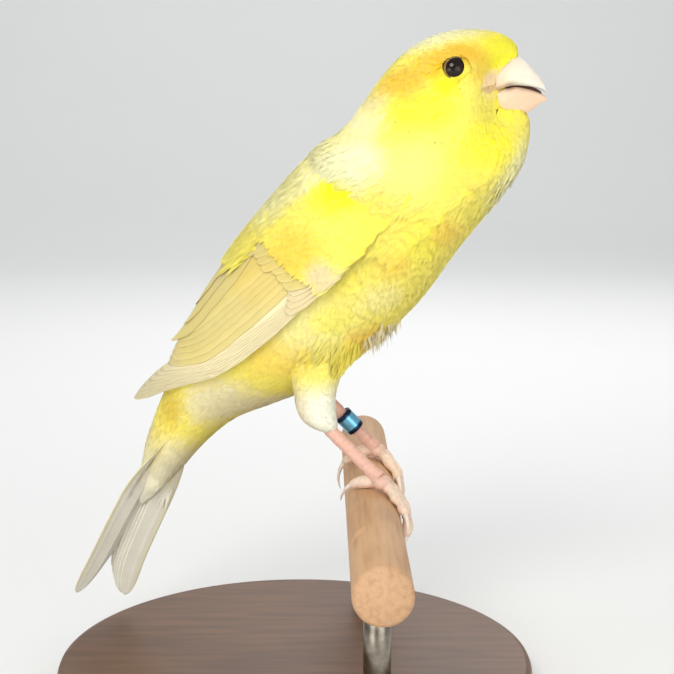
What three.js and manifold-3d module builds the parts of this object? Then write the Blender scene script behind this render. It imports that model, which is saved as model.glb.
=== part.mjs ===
// A yellow canary gripping a round wooden perch on a plain display stand, life size.
// Millimetres, +Z up, with the origin at the centre of the stand's underside.
// The bird is shaped in its own frame, x forwards, y to its left and z up, with the
// origin between its feet. That frame stands turned on the perch.
import * as THREE from "three";
import { mergeVertices } from "three/addons/utils/BufferGeometryUtils.js";
import Module from "manifold-3d";

const wasm = await Module();
wasm.setup();

// Stance
const BODY_TURN = THREE.MathUtils.degToRad(18.7); // the breast is turned this far towards -Y
const HEAD_TURN = THREE.MathUtils.degToRad(18); // and the head is turned back by this much
const TAIL_ROLL = THREE.MathUtils.degToRad(36); // the tail's underside is rolled to the right
const GAP = 0.3; // kept between neighbouring pieces

// Stand and perch
const BASE_RADIUS = 47;
const BASE_THICK = 7;
const BASE_EDGE = 1.2;
const PERCH_RADIUS = 5.1;
const PERCH_LENGTH = 112;
const PERCH_TOP = 44; // high enough for the tail to hang clear of the base
const PERCH_X = 15;
const ROD_RADIUS = 2.5;
const ROD_SPACING = 64;

// The bird's frame stands here, a little ahead of the perch's middle and above its top.
const BIRD_AHEAD = 1;
const BIRD_ALONG = 2;
const BIRD_ABOVE = 2.2;

// The body from the tail coverts to the face, as sections across it. Each section runs
// from a point on the back line to a point on the belly line, [x, z], and has a half width.
const BODY = [
  { back: [-51.0, -5.5], belly: [-46.4, -9.4], half: 1.6 }, // tips of the tail coverts
  { back: [-49.3, 1.0], belly: [-42.2, -5.0], half: 4.4 },
  { back: [-46.0, 9.2], belly: [-36.4, 1.4], half: 6.0 }, // root of the tail
  { back: [-42.2, 17.0], belly: [-29.6, 6.9], half: 8.2 }, // rump
  { back: [-37.4, 25.8], belly: [-20.6, 10.8], half: 11.0 },
  { back: [-31.6, 34.6], belly: [-10.6, 15.4], half: 13.2 }, // thighs
  { back: [-25.2, 43.2], belly: [-0.8, 23.2], half: 14.8 }, // belly
  { back: [-18.2, 51.2], belly: [8.4, 32.4], half: 15.4 },
  { back: [-11.6, 58.4], belly: [15.6, 42.4], half: 14.8 }, // breast
  { back: [-6.2, 64.8], belly: [22.4, 50.8], half: 13.2 }, // shoulders
  { back: [-2.0, 70.6], belly: [27.2, 57.6], half: 11.2 },
  { back: [1.8, 75.8], belly: [28.8, 62.4], half: 9.6 }, // neck
  { back: [6.4, 80.2], belly: [29.0, 65.4], half: 8.6 }, // nape
  { back: [11.8, 82.8], belly: [28.8, 67.0], half: 8.0 }, // crown
  { back: [17.6, 83.6], belly: [28.4, 67.8], half: 7.2 },
  { back: [22.8, 82.9], belly: [28.2, 68.4], half: 5.7 }, // forehead
  { back: [25.9, 81.0], belly: [26.6, 69.6], half: 3.9 },
  { back: [26.6, 78.8], belly: [25.4, 73.0], half: 1.6 }, // inside the bill
];
const BODY_SIDES = 22;
const BODY_STEPS = 28;
const BODY_SQUARE = 2.15; // exponent of the section, 2 being an ellipse
// The face narrows to the bill from one x to another, most of all between the chin and brow.
const FACE = { from: 16.5, to: 25, share: 0.58, chin: [61, 70], brow: [76.5, 81], browShare: 0.7 };

// Where the body is parted: a point on each cut and the direction across it, [x, z]
const NECK_CUT = { at: [13.5, 61.5], across: [0.55, 0.835] };
const HEAD_CUT = { at: [17.0, 68.6], across: [0.36, 0.933] };
const TAIL_CUT = { at: [-38.6, 8.2], across: [-0.72, -0.694] };

// Head turn: it grows from none at the shoulders to all of it at the throat.
const TURN_PIVOT_X = 8;
const TURN_ALONG = [0.55, 0.835];
const TURN_FROM = 53;
const TURN_TO = 67;

// Head
const EYE = { x: 14.0, y: 5.75, z: 76.1, radius: 2.6 };
const LID = { lift: 1.62, ring: 2.12, thick: 0.42 };
const UPPER_BILL = [
  // culmen and cutting edge heights at x, and the half width there
  { x: 19.4, top: 78.6, edge: 71.5, half: 3.4 },
  { x: 22.8, top: 79.4, edge: 72.6, half: 4.3 },
  { x: 25.4, top: 79.2, edge: 73.2, half: 3.9 },
  { x: 27.8, top: 77.6, edge: 73.1, half: 2.8 },
  { x: 29.6, top: 75.8, edge: 72.8, half: 1.75 },
  { x: 31.2, top: 73.9, edge: 72.4, half: 0.75 },
  { x: 31.9, top: 72.4, edge: 71.9, half: 0.18 },
];
const LOWER_BILL = [
  { x: 19.6, top: 70.9, edge: 67.8, half: 3.3 },
  { x: 22.8, top: 72.2, edge: 67.3, half: 4.0 },
  { x: 25.4, top: 72.9, edge: 67.3, half: 3.5 },
  { x: 27.8, top: 72.6, edge: 67.8, half: 2.5 },
  { x: 29.6, top: 72.15, edge: 68.9, half: 1.55 },
  { x: 31.2, top: 71.5, edge: 70.1, half: 0.7 },
  { x: 32.0, top: 71.0, edge: 70.5, half: 0.18 },
];
const BILL_FLAT = 0.05; // how far the flat of each half bulges towards the other
const NOSTRIL = { x: 26.7, y: 2.55, z: 77.0, length: 0.7, height: 0.42 };

// The bed that a folded wing lies on: the body's own sections from the rump to the
// shoulders, set off by a distance, after a section of its own at the wing's tip.
const BED_OFF = 1.4;
const BED_SINK = 0.45; // share of it lost at the shoulder, where the wing runs into the mantle
const BED = [
  { back: [-50.6, 9.4], belly: [-48.2, 6.6], half: 2.0 },
  { back: [-44.6, 17.4], belly: [-35.4, 9.0], half: 6.4 },
  ...BODY.slice(4, 10),
];
const WING_LOW = [90, 108]; // angle down from the back to the wing's lower edge, tip and shoulder
const VANE = 0.56; // thickness of a feather

// Rows of wing feathers, from the lowest upwards. Along the wing 0 is its tip and 1 its
// shoulder; across it millimetres count up from the lower edge. Lift is above the bed, at a
// feather's upper edge and its lower one.
const WING_ROWS = [
  {
    name: "primaries",
    count: 6,
    root: (k) => [0.8, 0.3 + 0.36 * k],
    tip: (k) => [[0.02, 0.0, 0.015, 0.055, 0.1, 0.145][k], 0.1 + 0.66 * k],
    width: 4.8,
    lift: [-0.1, 0.3],
    liftStep: 0.08,
    point: 0.3,
    across: 2,
    steps: [0, 0.35, 0.7, 0.9, 1],
  },
  {
    name: "secondaries",
    count: 5,
    root: (k) => [0.8, 3.8 + 1.3 * k],
    tip: (k) => [0.19 + 0.018 * k, 3.4 + 1.6 * k],
    width: 6.6,
    lift: [0.2, 0.7],
    liftStep: 0.07,
    point: 0.75,
    across: 2,
    steps: [0, 0.3, 0.6, 0.85, 1],
  },
  {
    name: "tertials",
    count: 3,
    root: (k) => [0.7, 14.4 + 3.4 * k],
    tip: (k) => [0.22 + 0.06 * k, 9.4 + 3.0 * k],
    width: 8.8,
    lift: [0.45, 0.95],
    liftStep: 0.1,
    point: 0.8,
    across: 2,
    steps: [0, 0.4, 0.75, 1],
  },
  {
    name: "primary_coverts",
    count: 2,
    root: (k) => [0.84, 0.4 + 1.0 * k],
    tip: (k) => [0.565 + 0.02 * k, 0.1 + 1.2 * k],
    width: 3.8,
    lift: [0.4, 0.8],
    liftStep: 0.06,
    point: 0.6,
    across: 1,
    steps: [0, 0.5, 0.85, 1],
  },
  {
    name: "scapulars",
    count: 3,
    root: (k) => [0.95, 20.0 + 2.6 * k],
    tip: (k) => [0.5 + 0.045 * k, 19.6 + 2.4 * k],
    width: 6.6,
    lift: [0.65, 1.05],
    liftStep: 0.06,
    point: 0.9,
    across: 1,
    steps: [0, 0.5, 0.85, 1],
  },
  {
    name: "greater_coverts",
    count: 5,
    root: (k) => [0.83 + 0.012 * k, 1.6 + 3.5 * k],
    tip: (k) => [0.6 - 0.005 * k, 2.2 + 3.4 * k],
    width: 5.8,
    lift: [0.6, 1.0],
    liftStep: 0.02,
    point: 0.9,
    across: 1,
    steps: [0, 0.5, 0.85, 1],
  },
  {
    name: "median_coverts",
    count: 4,
    root: (k) => [0.88 + 0.018 * k, 1.2 + 4.4 * k],
    tip: (k) => [0.715 + 0.004 * k, 1.8 + 4.2 * k],
    width: 6.8,
    lift: [0.75, 1.15],
    liftStep: 0.02,
    point: 1.0,
    across: 1,
    steps: [0, 0.5, 0.85, 1],
  },
  {
    name: "lesser_coverts",
    count: 3,
    root: (k) => [0.925 + 0.024 * k, 1.8 + 5.2 * k],
    tip: (k) => [0.8 + 0.008 * k, 2.6 + 5.2 * k],
    width: 7.6,
    lift: [0.85, 1.25],
    liftStep: 0.02,
    point: 1.0,
    across: 1,
    steps: [0, 0.5, 0.85, 1],
  },
];
const WING_CORE = { along: [0.34, 0.95], low: [1.2, 2.0], high: [9.0, 25.0], lift: [-0.5, 0.6] };

// Tail: twelve feathers from a root under the coverts, in pairs from the middle outwards
const TAIL_LINE = [
  [-38.4, 11.0],
  [-44.2, 0.4],
  [-50.6, -11.2],
  [-57.0, -23.6],
  [-61.6, -33.2],
];
const TAIL_LENGTHS = [0.86, 0.895, 0.93, 0.965, 0.99, 1.0];
const TAIL_SPREAD = 0.8; // millimetres between neighbouring tips
const TAIL_WIDTH = 5.2;
const TAIL_PART = 1.0; // from the tail's middle to the middle of its first feather
const TAIL_TUCK = 0.4; // height between neighbouring feathers
const TAIL_ROLL_LENGTH = 0.5; // share of the tail over which the roll grows

// Legs: the ankle and the foot in the bird's frame, y away from its middle. Turns are from
// straight across the perch, towards the bird's front-right.
const LEGS = {
  right: { side: -1, ankle: [-6.4, 9.0, 7.9], foot: [5.0, 12.2, -0.6], turn: 28, hindTurn: 38 },
  left: { side: 1, ankle: [-12.2, 7.3, 10.1], foot: [-3.1, 11.6, -0.6], turn: 24, hindTurn: 6 },
};
const THIGH = [
  // sections down the feathered leg: height above the ankle, how far the middle is behind
  // and inside it, and the half sizes
  { up: 17.0, behind: 3.2, inside: 2.2, fore: 6.4, side: 4.6 },
  { up: 12.3, behind: 3.3, inside: 1.2, fore: 5.4, side: 4.6 },
  { up: 9.4, behind: 3.3, inside: 0.6, fore: 4.6, side: 4.2 },
  { up: 6.4, behind: 3.3, inside: 0.3, fore: 4.0, side: 3.7 },
  { up: 3.4, behind: 2.9, inside: 0.1, fore: 3.8, side: 3.3 },
  { up: 1.6, behind: 2.1, inside: 0, fore: 3.3, side: 2.8 },
  { up: 0.5, behind: 1.2, inside: 0, fore: 2.5, side: 2.2 },
  { up: -0.3, behind: 0.4, inside: 0, fore: 0.9, side: 0.9 },
];
const TARSUS = { radius: 1.05, deep: 1.25, reach: 0.93, scutes: 7, scute: 0.09 };
const TOES = [
  // turn from the foot's direction, length, radius, joints and claw length
  { name: "inner", turn: 26, length: 8.6, radius: 0.92, joints: 2, claw: 4.2 },
  { name: "middle", turn: 0, length: 12.0, radius: 1.0, joints: 3, claw: 4.8 },
  { name: "outer", turn: -26, length: 9.4, radius: 0.9, joints: 3, claw: 4.2 },
  { name: "hind", turn: 0, length: 7.8, radius: 1.1, joints: 1, claw: 6.0 },
];
const TOE_DROP = 2.2; // length over which a toe comes down from the foot to the perch
const CLAW_RADIUS = 0.55;

const RING = { at: 0.63, length: 4.4, inner: 1.55, outer: 1.9 };

const COLOURS = {
  plumage: { color: 0xf6dc2e, roughness: 0.85 },
  wing: { color: 0xeeda6a, roughness: 0.75 },
  tail: { color: 0xeeeaca, roughness: 0.7 },
  thigh: { color: 0xfaf3cf, roughness: 0.9 },
  skin: { color: 0xe9b7a2, roughness: 0.55 },
  bill: { color: 0xf2d3c4, roughness: 0.35 },
  claw: { color: 0xe6cbbf, roughness: 0.35 },
  eye: { color: 0x120a08, roughness: 0.08 },
  ring: { color: 0x4fa8dc, roughness: 0.3, metalness: 0.8 },
  perch: { color: 0xb58a5e, roughness: 0.7 },
  stand: { color: 0x6d4a30, roughness: 0.5 },
};

// Solids

// A closed three.js geometry as a solid, turned outside out where a mapping mirrored it.
function solid(geometry) {
  const bare = geometry.clone();
  bare.deleteAttribute("normal");
  bare.deleteAttribute("uv");
  const merged = mergeVertices(bare, 1e-4);
  const corners = merged.index.array;
  const kept = [];
  for (let i = 0; i < corners.length; i += 3) {
    const [a, b, c] = [corners[i], corners[i + 1], corners[i + 2]];
    if (a !== b && b !== c && a !== c) kept.push(a, b, c);
  }
  const build = (order) =>
    new wasm.Manifold(
      new wasm.Mesh({
        numProp: 3,
        vertProperties: merged.attributes.position.array,
        triVerts: new Uint32Array(order),
      }),
    );
  const made = build(kept);
  if (made.volume() >= 0) return made;
  for (let i = 0; i < kept.length; i += 3) [kept[i + 1], kept[i + 2]] = [kept[i + 2], kept[i + 1]];
  return build(kept);
}

function join(pieces) {
  return pieces.reduce((sum, piece) => sum.add(piece));
}

// The largest closed surface of a solid, with sealed hollows filled.
function largest(shape) {
  return shape.decompose().reduce((best, piece) => (piece.volume() > best.volume() ? piece : best));
}

function meshOf(name, shape, look) {
  const { vertProperties, triVerts } = largest(shape).getMesh();
  const geometry = new THREE.BufferGeometry();
  geometry.setAttribute("position", new THREE.BufferAttribute(vertProperties, 3));
  geometry.setIndex(new THREE.BufferAttribute(triVerts, 1));
  geometry.computeVertexNormals();
  const mesh = new THREE.Mesh(geometry, new THREE.MeshStandardMaterial(COLOURS[look]));
  mesh.name = name;
  return mesh;
}

// A cylinder whose points are placed one by one: t runs along it, angle round it, and
// rim is 1 on its side and 0 at the middle of its two ends.
function tubeForm(sides, steps, place) {
  const geometry = new THREE.CylinderGeometry(1, 1, 1, sides, steps);
  const position = geometry.getAttribute("position");
  for (let i = 0; i < position.count; i++) {
    const [x, y, z] = [position.getX(i), position.getY(i), position.getZ(i)];
    const point = place(0.5 - y, Math.atan2(x, z), Math.round(Math.hypot(x, z)));
    position.setXYZ(i, point.x, point.y, point.z);
  }
  return solid(geometry);
}

// A thin plate over a grid, with both faces split into triangles alike. place(u, v, face)
// gives a point: u across and v along the steps, face 1 on the outside and 0 inside.
function plateForm(across, steps, place) {
  const along = steps.length - 1;
  const grid = new THREE.PlaneGeometry(1, 1, across, along);
  const count = grid.getAttribute("position").count;
  const at = (column, row) => row * (across + 1) + column;
  const points = [];
  for (const face of [1, 0])
    for (let row = 0; row <= along; row++)
      for (let column = 0; column <= across; column++)
        points.push(...place(column / across, steps[row], face).toArray());
  const order = [...grid.index.array];
  for (let i = 0; i < grid.index.count; i += 3)
    order.push(...[0, 2, 1].map((corner) => grid.index.array[i + corner] + count));
  const rim = [];
  for (let column = 0; column < across; column++) rim.push([at(column, 0), at(column + 1, 0)]);
  for (let row = 0; row < along; row++) rim.push([at(across, row), at(across, row + 1)]);
  for (let column = across; column > 0; column--) rim.push([at(column, along), at(column - 1, along)]);
  for (let row = along; row > 0; row--) rim.push([at(0, row), at(0, row - 1)]);
  for (const [a, b] of rim) order.push(a, b, b + count, a, b + count, a + count);
  const plate = new THREE.BufferGeometry();
  plate.setAttribute("position", new THREE.Float32BufferAttribute(points, 3));
  plate.setIndex(order);
  return solid(plate);
}

// A tube along a curve with a radius that may change, given a direction that its depth keeps to.
function tubeAlong(curve, sides, steps, size, deepTowards) {
  return tubeForm(sides, steps, (t, angle, rim) => {
    const middle = curve.getPointAt(t);
    const along = curve.getTangentAt(t);
    const deep = deepTowards(middle).projectOnPlane(along).normalize();
    const wide = new THREE.Vector3().crossVectors(along, deep);
    const [half, depth] = size(t);
    return middle
      .addScaledVector(wide, rim * half * Math.sin(angle))
      .addScaledVector(deep, rim * depth * Math.cos(angle));
  });
}

function smoothCurve(points) {
  return new THREE.CatmullRomCurve3(
    points.map((p) => new THREE.Vector3(...p)),
    false,
    "centripetal",
  );
}

// A half space's box: everything past a cut, from a distance off it.
function beyond(cut, offset) {
  const size = 200;
  const across = new THREE.Vector3(cut.across[0], 0, cut.across[1]).normalize();
  const box = new THREE.BoxGeometry(size, size, size).translate(0, 0, size / 2 + offset);
  box.applyQuaternion(new THREE.Quaternion().setFromUnitVectors(new THREE.Vector3(0, 0, 1), across));
  return solid(box.translate(cut.at[0], 0, cut.at[1]));
}

// Everything on one side of the bird's middle, half a gap off it.
function sideOf(side) {
  const box = new THREE.BoxGeometry(300, 150, 300);
  return solid(box.translate(0, side * (75 + GAP / 2), 0));
}

// Body

// The lines of a list of sections: its back, its belly and its half widths.
function linesOf(sections) {
  return {
    back: smoothCurve(sections.map((s) => [s.back[0], 0, s.back[1]])),
    belly: smoothCurve(sections.map((s) => [s.belly[0], 0, s.belly[1]])),
    half: smoothCurve(sections.map((s, i) => [i, s.half, 0])),
  };
}

// The section at t as its middle, the unit direction to the back, and its two half sizes.
function sectionAt(lines, t) {
  const back = lines.back.getPoint(t);
  const belly = lines.belly.getPoint(t);
  const up = new THREE.Vector3().subVectors(back, belly);
  const height = up.length() / 2;
  return {
    middle: back.add(belly).multiplyScalar(0.5),
    up: up.normalize(),
    height,
    half: lines.half.getPoint(t).y,
  };
}

const bodyLines = linesOf(BODY);
const bedLines = linesOf(BED);

// Turns a point of the neck or head back towards where the bird looks.
function turnHead(point) {
  const along = point.x * TURN_ALONG[0] + point.z * TURN_ALONG[1];
  const angle = HEAD_TURN * THREE.MathUtils.smoothstep(along, TURN_FROM, TURN_TO);
  const x = point.x - TURN_PIVOT_X;
  return new THREE.Vector3(
    TURN_PIVOT_X + x * Math.cos(angle) - point.y * Math.sin(angle),
    x * Math.sin(angle) + point.y * Math.cos(angle),
    point.z,
  );
}

function power(value, exponent) {
  return Math.sign(value) * Math.abs(value) ** exponent;
}

// How much of its width the face keeps at a point, on its way to the bill.
function faceShare({ x, z }) {
  const ahead = THREE.MathUtils.smoothstep(x, FACE.from, FACE.to);
  const above = THREE.MathUtils.smoothstep(z, ...FACE.chin);
  const below = 1 - FACE.browShare * THREE.MathUtils.smoothstep(z, ...FACE.brow);
  return 1 - FACE.share * ahead * above * below;
}

// The whole body as one form, larger by grow on every side.
function bodyForm(grow) {
  return tubeForm(BODY_SIDES, BODY_STEPS, (t, angle, rim) => {
    const { middle, up, height, half } = sectionAt(bodyLines, t);
    const c = power(Math.cos(angle), 2 / BODY_SQUARE);
    const s = power(Math.sin(angle), 2 / BODY_SQUARE);
    middle.addScaledVector(up, rim * (height + grow) * c);
    middle.y += rim * (half * faceShare(middle) + grow) * s;
    return turnHead(middle);
  });
}

// Head

// One half of the bill, widest at its cutting edge. Its ridge is on the given side, 1 up.
function billForm(sections, ridge, grow) {
  const tops = smoothCurve(sections.map((s) => [s.x, s.half, s.top]));
  const edges = smoothCurve(sections.map((s) => [s.x, s.half, s.edge]));
  return tubeForm(12, 8, (t, angle, rim) => {
    const top = tops.getPoint(t);
    const edge = edges.getPoint(t);
    const half = top.y + grow;
    const over = ridge * Math.cos(angle);
    const height = over > 0 ? Math.abs(top.z - edge.z) + grow : BILL_FLAT + grow;
    const cut = ridge > 0 ? edge.z : top.z;
    const z = cut + ridge * rim * height * power(over, 0.85);
    return turnHead(new THREE.Vector3(top.x, rim * half * power(Math.sin(angle), 0.8), z));
  });
}

function ballForm(x, y, z, radius, sides) {
  const ball = new THREE.SphereGeometry(radius, sides, sides / 2);
  const at = turnHead(new THREE.Vector3(x, y, z));
  return solid(ball.translate(at.x, at.y, at.z));
}

// The raised rim of the eyelids, round the eye's outward axis.
function lidForm(side) {
  const eye = turnHead(new THREE.Vector3(EYE.x, side * EYE.y, EYE.z));
  const out = turnHead(new THREE.Vector3(EYE.x + 0.25, side * (EYE.y + 1), EYE.z + 0.1)).sub(eye).normalize();
  const ring = new THREE.TorusGeometry(LID.ring, LID.thick, 5, 14);
  ring.applyQuaternion(new THREE.Quaternion().setFromUnitVectors(new THREE.Vector3(0, 0, 1), out));
  const at = eye.addScaledVector(out, LID.lift);
  return solid(ring.translate(at.x, at.y, at.z));
}

// Wings

// A point over the wing's bed: along from the tip to the shoulder, across in millimetres up
// from the lower edge, and lifted off the bed.
function bedPoint(side, along, across, lift) {
  const { middle, up, height, half } = sectionAt(bedLines, THREE.MathUtils.clamp(along, 0, 1));
  const low = THREE.MathUtils.degToRad(THREE.MathUtils.lerp(WING_LOW[0], WING_LOW[1], along));
  const angle = low - across / (Math.hypot(height, half) * Math.SQRT1_2 + BED_OFF);
  const off = (BED_OFF + lift) * (1 - BED_SINK * THREE.MathUtils.smoothstep(along, 0.92, 1));
  middle.addScaledVector(up, (height + off) * power(Math.cos(angle), 2 / BODY_SQUARE));
  middle.y += side * (half + off) * power(Math.sin(angle), 2 / BODY_SQUARE);
  return middle;
}

// How wide a vane is at v, from its root to its tip, as a share of its full width.
function vaneShare(v, point) {
  const body = 0.55 + 0.45 * THREE.MathUtils.smoothstep(v, 0, 0.4);
  const end = Math.sqrt(Math.max(0, 1 - Math.max(0, (v - (1 - 0.34 * point)) / (0.34 * point)) ** 2));
  const taper = 1 - (1 - point) * 0.62 * v ** 2.5;
  return Math.max(0.1, body * end * taper);
}

function wingVane(side, row, k) {
  const [root, tip] = [row.root(k), row.tip(k)];
  return plateForm(row.across, row.steps, (u, v, face) => {
    const along = THREE.MathUtils.lerp(root[0], tip[0], v);
    const half = (row.width / 2) * vaneShare(v, row.point);
    const middle = THREE.MathUtils.lerp(root[1], tip[1], v) + row.width / 2;
    const rise = THREE.MathUtils.lerp(row.lift[1] + row.liftStep * k, row.lift[0], u);
    const lift = rise * THREE.MathUtils.lerp(0.45, 1, v);
    const thick = VANE * (1 - 0.3 * v * v);
    return bedPoint(side, along, middle + (2 * u - 1) * half, lift - (face ? 0 : thick));
  });
}

function wingCore(side) {
  const { along, low, high, lift } = WING_CORE;
  return plateForm(4, [0, 0.3, 0.7, 0.9, 1], (u, v, face) => {
    const reach = THREE.MathUtils.lerp(along[1], along[0], v);
    const bottom = THREE.MathUtils.lerp(low[1], low[0], v);
    const top = THREE.MathUtils.lerp(high[1], high[0], v);
    const round = 1 - 0.2 * (2 * v - 1) ** 6;
    const across = (bottom + top) / 2 + ((2 * u - 1) * round * (top - bottom)) / 2;
    return bedPoint(side, reach, across, face ? lift[1] * (1 - 0.5 * v) : lift[0]);
  });
}

function wingForm(side) {
  const vanes = WING_ROWS.flatMap((row) =>
    Array.from({ length: row.count }, (_, k) => wingVane(side, row, k)),
  );
  return join([wingCore(side), ...vanes]);
}

// Tail

const tailCurve = smoothCurve(TAIL_LINE.map(([x, z]) => [x, 0, z]));

// A point of the tail: t along it, across to the bird's left, and up off its middle.
function tailPoint(t, across, lift) {
  const middle = tailCurve.getPointAt(Math.min(t, 1));
  const along = tailCurve.getTangentAt(Math.min(t, 1));
  const roll = TAIL_ROLL * THREE.MathUtils.smoothstep(t, 0.1, TAIL_ROLL_LENGTH);
  const left = new THREE.Vector3(0, 1, 0).applyAxisAngle(along, roll);
  const up = new THREE.Vector3().crossVectors(left, along);
  return middle.addScaledVector(left, across).addScaledVector(up, lift);
}

function tailFeather(side, k) {
  const reach = TAIL_LENGTHS[k];
  return plateForm(2, [0, 0.4, 0.8, 0.94, 1], (u, v, face) => {
    const t = reach * v;
    const edge = 2 * u - 1;
    const half = (TAIL_WIDTH / 2) * vaneShare(v, 0.62);
    const fan = (0.45 + 0.55 * v) * TAIL_SPREAD;
    const part = TAIL_PART + 0.9 * THREE.MathUtils.smoothstep(v, 0.75, 1);
    const across = side * (part + fan * k) + edge * half;
    const camber = 0.35 - 0.5 * (across / 6) ** 2;
    const lift = (2.5 - k) * TAIL_TUCK + camber;
    return tailPoint(t, across, lift - (face ? 0 : VANE));
  });
}

function tailFeathers() {
  return join([1, -1].flatMap((side) => TAIL_LENGTHS.map((_, k) => tailFeather(side, k))));
}

// Legs and feet

const legPoint = (leg, [x, y, z]) => new THREE.Vector3(x, leg.side * y, z);

// The feathered part of a leg, from inside the belly down to the ankle.
function thighForm(leg, grow) {
  const ankle = legPoint(leg, leg.ankle);
  const middles = smoothCurve(THIGH.map((s) => [-s.behind, -leg.side * s.inside, s.up]));
  const sizes = smoothCurve(THIGH.map((s) => [s.fore, s.side, s.up]));
  return tubeForm(16, 10, (t, angle, rim) => {
    const size = sizes.getPoint(t);
    const at = middles.getPoint(t).add(ankle);
    at.x += rim * (size.x + grow) * Math.cos(angle);
    at.y += rim * (size.y + grow) * Math.sin(angle);
    return at;
  });
}

// The scaly shank from inside the feathers down to the foot.
function tarsusCurve(leg) {
  const [ankle, foot] = [legPoint(leg, leg.ankle), legPoint(leg, leg.foot)];
  const knee = ankle.clone().add(new THREE.Vector3(-0.4, 0, 0.9));
  const end = ankle.clone().lerp(foot, TARSUS.reach);
  return new THREE.CatmullRomCurve3([knee, ankle, ankle.clone().lerp(end, 0.5), end]);
}

function tarsusForm(leg, grow) {
  return tubeAlong(
    tarsusCurve(leg),
    7,
    21,
    (t) => {
      const scute = TARSUS.scute * ((t * TARSUS.scutes) % 1);
      const knuckle = 0.45 * Math.exp(-(((t - 0.1) / 0.09) ** 2)) + 0.25 * THREE.MathUtils.smoothstep(t, 0.85, 1);
      const end = Math.sqrt(Math.min(1, t / 0.06));
      const more = scute + knuckle + grow;
      return [end * (TARSUS.radius + more), end * (TARSUS.deep + more)];
    },
    () => new THREE.Vector3(1, 0, 0.4),
  );
}

// Places in the perch's own frame, x across it, y along it and z up from its axis, and back.
const UP = new THREE.Vector3(0, 0, 1);
const AXIS = new THREE.Vector3(BIRD_AHEAD, 0, PERCH_RADIUS + BIRD_ABOVE);
const toPerch = (point) => point.clone().applyAxisAngle(UP, -BODY_TURN).add(AXIS);
const toBird = (point) => point.clone().sub(AXIS).applyAxisAngle(UP, BODY_TURN);

// A toe's way from the foot over the perch and round it, then on as its claw. Distances
// are measured along the toe, and its height off the perch falls as it comes down to it.
function toePoint(leg, toe, distance) {
  const foot = toPerch(legPoint(leg, leg.foot));
  const hind = toe.name === "hind";
  const turn = THREE.MathUtils.degToRad(hind ? leg.hindTurn : leg.turn + leg.side * toe.turn);
  const way = hind ? -distance : distance;
  const clear = PERCH_RADIUS + GAP + toe.radius * 1.08;
  const start = Math.hypot(foot.x, foot.z);
  const down = THREE.MathUtils.smoothstep(distance, 0, TOE_DROP * 2);
  const radius = THREE.MathUtils.lerp(Math.max(start, clear), clear, down);
  const angle = Math.atan2(foot.x, foot.z) + (way * Math.cos(turn)) / clear;
  const y = foot.y - way * Math.sin(turn);
  return toBird(new THREE.Vector3(radius * Math.sin(angle), y, radius * Math.cos(angle)));
}

// The direction straight off the perch's axis at a place.
const offPerch = (point) => {
  const p = toPerch(point);
  return new THREE.Vector3(p.x, 0, p.z).applyAxisAngle(UP, BODY_TURN);
};

function toeForm(leg, toe, grow) {
  const steps = 7;
  const points = Array.from({ length: steps + 1 }, (_, i) => toePoint(leg, toe, (toe.length * i) / steps));
  return tubeAlong(
    new THREE.CatmullRomCurve3(points),
    7,
    9,
    (t) => {
      const pad = 0.13 * Math.cos(2 * Math.PI * toe.joints * (t - 0.5)) * THREE.MathUtils.smoothstep(t, 0, 0.25);
      const end = Math.sqrt(Math.max(0.08, 1 - Math.max(0, (t - 0.88) / 0.12) ** 2));
      const radius = (toe.radius * (1.12 - 0.3 * t) + pad) * end + grow;
      return [radius, radius * 1.02];
    },
    offPerch,
  );
}

// The claw goes on round the perch from the toe's end, tapering to its point.
function clawForm(leg, toe) {
  const steps = 5;
  const from = toe.length - 0.9;
  const points = Array.from({ length: steps + 1 }, (_, i) => {
    const share = i / steps;
    const lift = 0.5 * share * (1 - share) - 0.35 * share;
    const at = toePoint(leg, toe, from + (toe.claw + 0.9) * share);
    return at.addScaledVector(offPerch(at).normalize(), lift);
  });
  return tubeAlong(
    new THREE.CatmullRomCurve3(points),
    6,
    5,
    (t) => {
      const radius = CLAW_RADIUS * Math.sqrt(Math.max(0.02, 1 - t)) * (1 - 0.25 * t);
      return [radius * 0.8, radius];
    },
    offPerch,
  );
}

// The ball of the foot, where the toes meet the shank.
function footPad(leg, grow) {
  const at = legPoint(leg, leg.foot);
  const pad = new THREE.SphereGeometry(1, 9, 6);
  pad.scale(1.8 + grow, 1.75 + grow, 1.35 + grow);
  return solid(pad.translate(at.x, at.y, at.z));
}

function footForm(leg) {
  return join([footPad(leg, 0), ...TOES.map((toe) => toeForm(leg, toe, 0))]);
}

// The leg ring round the left shank.
function ringForm() {
  const curve = tarsusCurve(LEGS.left);
  const at = curve.getPointAt(RING.at);
  const along = curve.getTangentAt(RING.at);
  const [a, b] = [-RING.length / 2, RING.length / 2];
  const edge = 0.12;
  const profile = [
    [RING.inner, a],
    [RING.outer - edge, a],
    [RING.outer, a + edge],
    [RING.outer, b - edge],
    [RING.outer - edge, b],
    [RING.inner, b],
    [RING.inner, a],
  ];
  const ring = new THREE.LatheGeometry(
    profile.map(([x, y]) => new THREE.Vector2(x, y)),
    16,
  );
  ring.applyQuaternion(new THREE.Quaternion().setFromUnitVectors(new THREE.Vector3(0, 1, 0), along));
  return solid(ring.translate(at.x, at.y, at.z));
}

// Perch and stand

// The perch's cylinder, with its ends a little rounded, in the perch's own frame.
function perchForm(grow) {
  const end = PERCH_LENGTH / 2 + grow;
  const radius = PERCH_RADIUS + grow;
  const worn = 0.8;
  const profile = [
    [0, -end],
    [radius - worn, -end],
    [radius, -end + worn],
    [radius, end - worn],
    [radius - worn, end],
    [0, end],
  ];
  return solid(
    new THREE.LatheGeometry(
      profile.map(([x, y]) => new THREE.Vector2(x, y)),
      20,
    ),
  );
}

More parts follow.
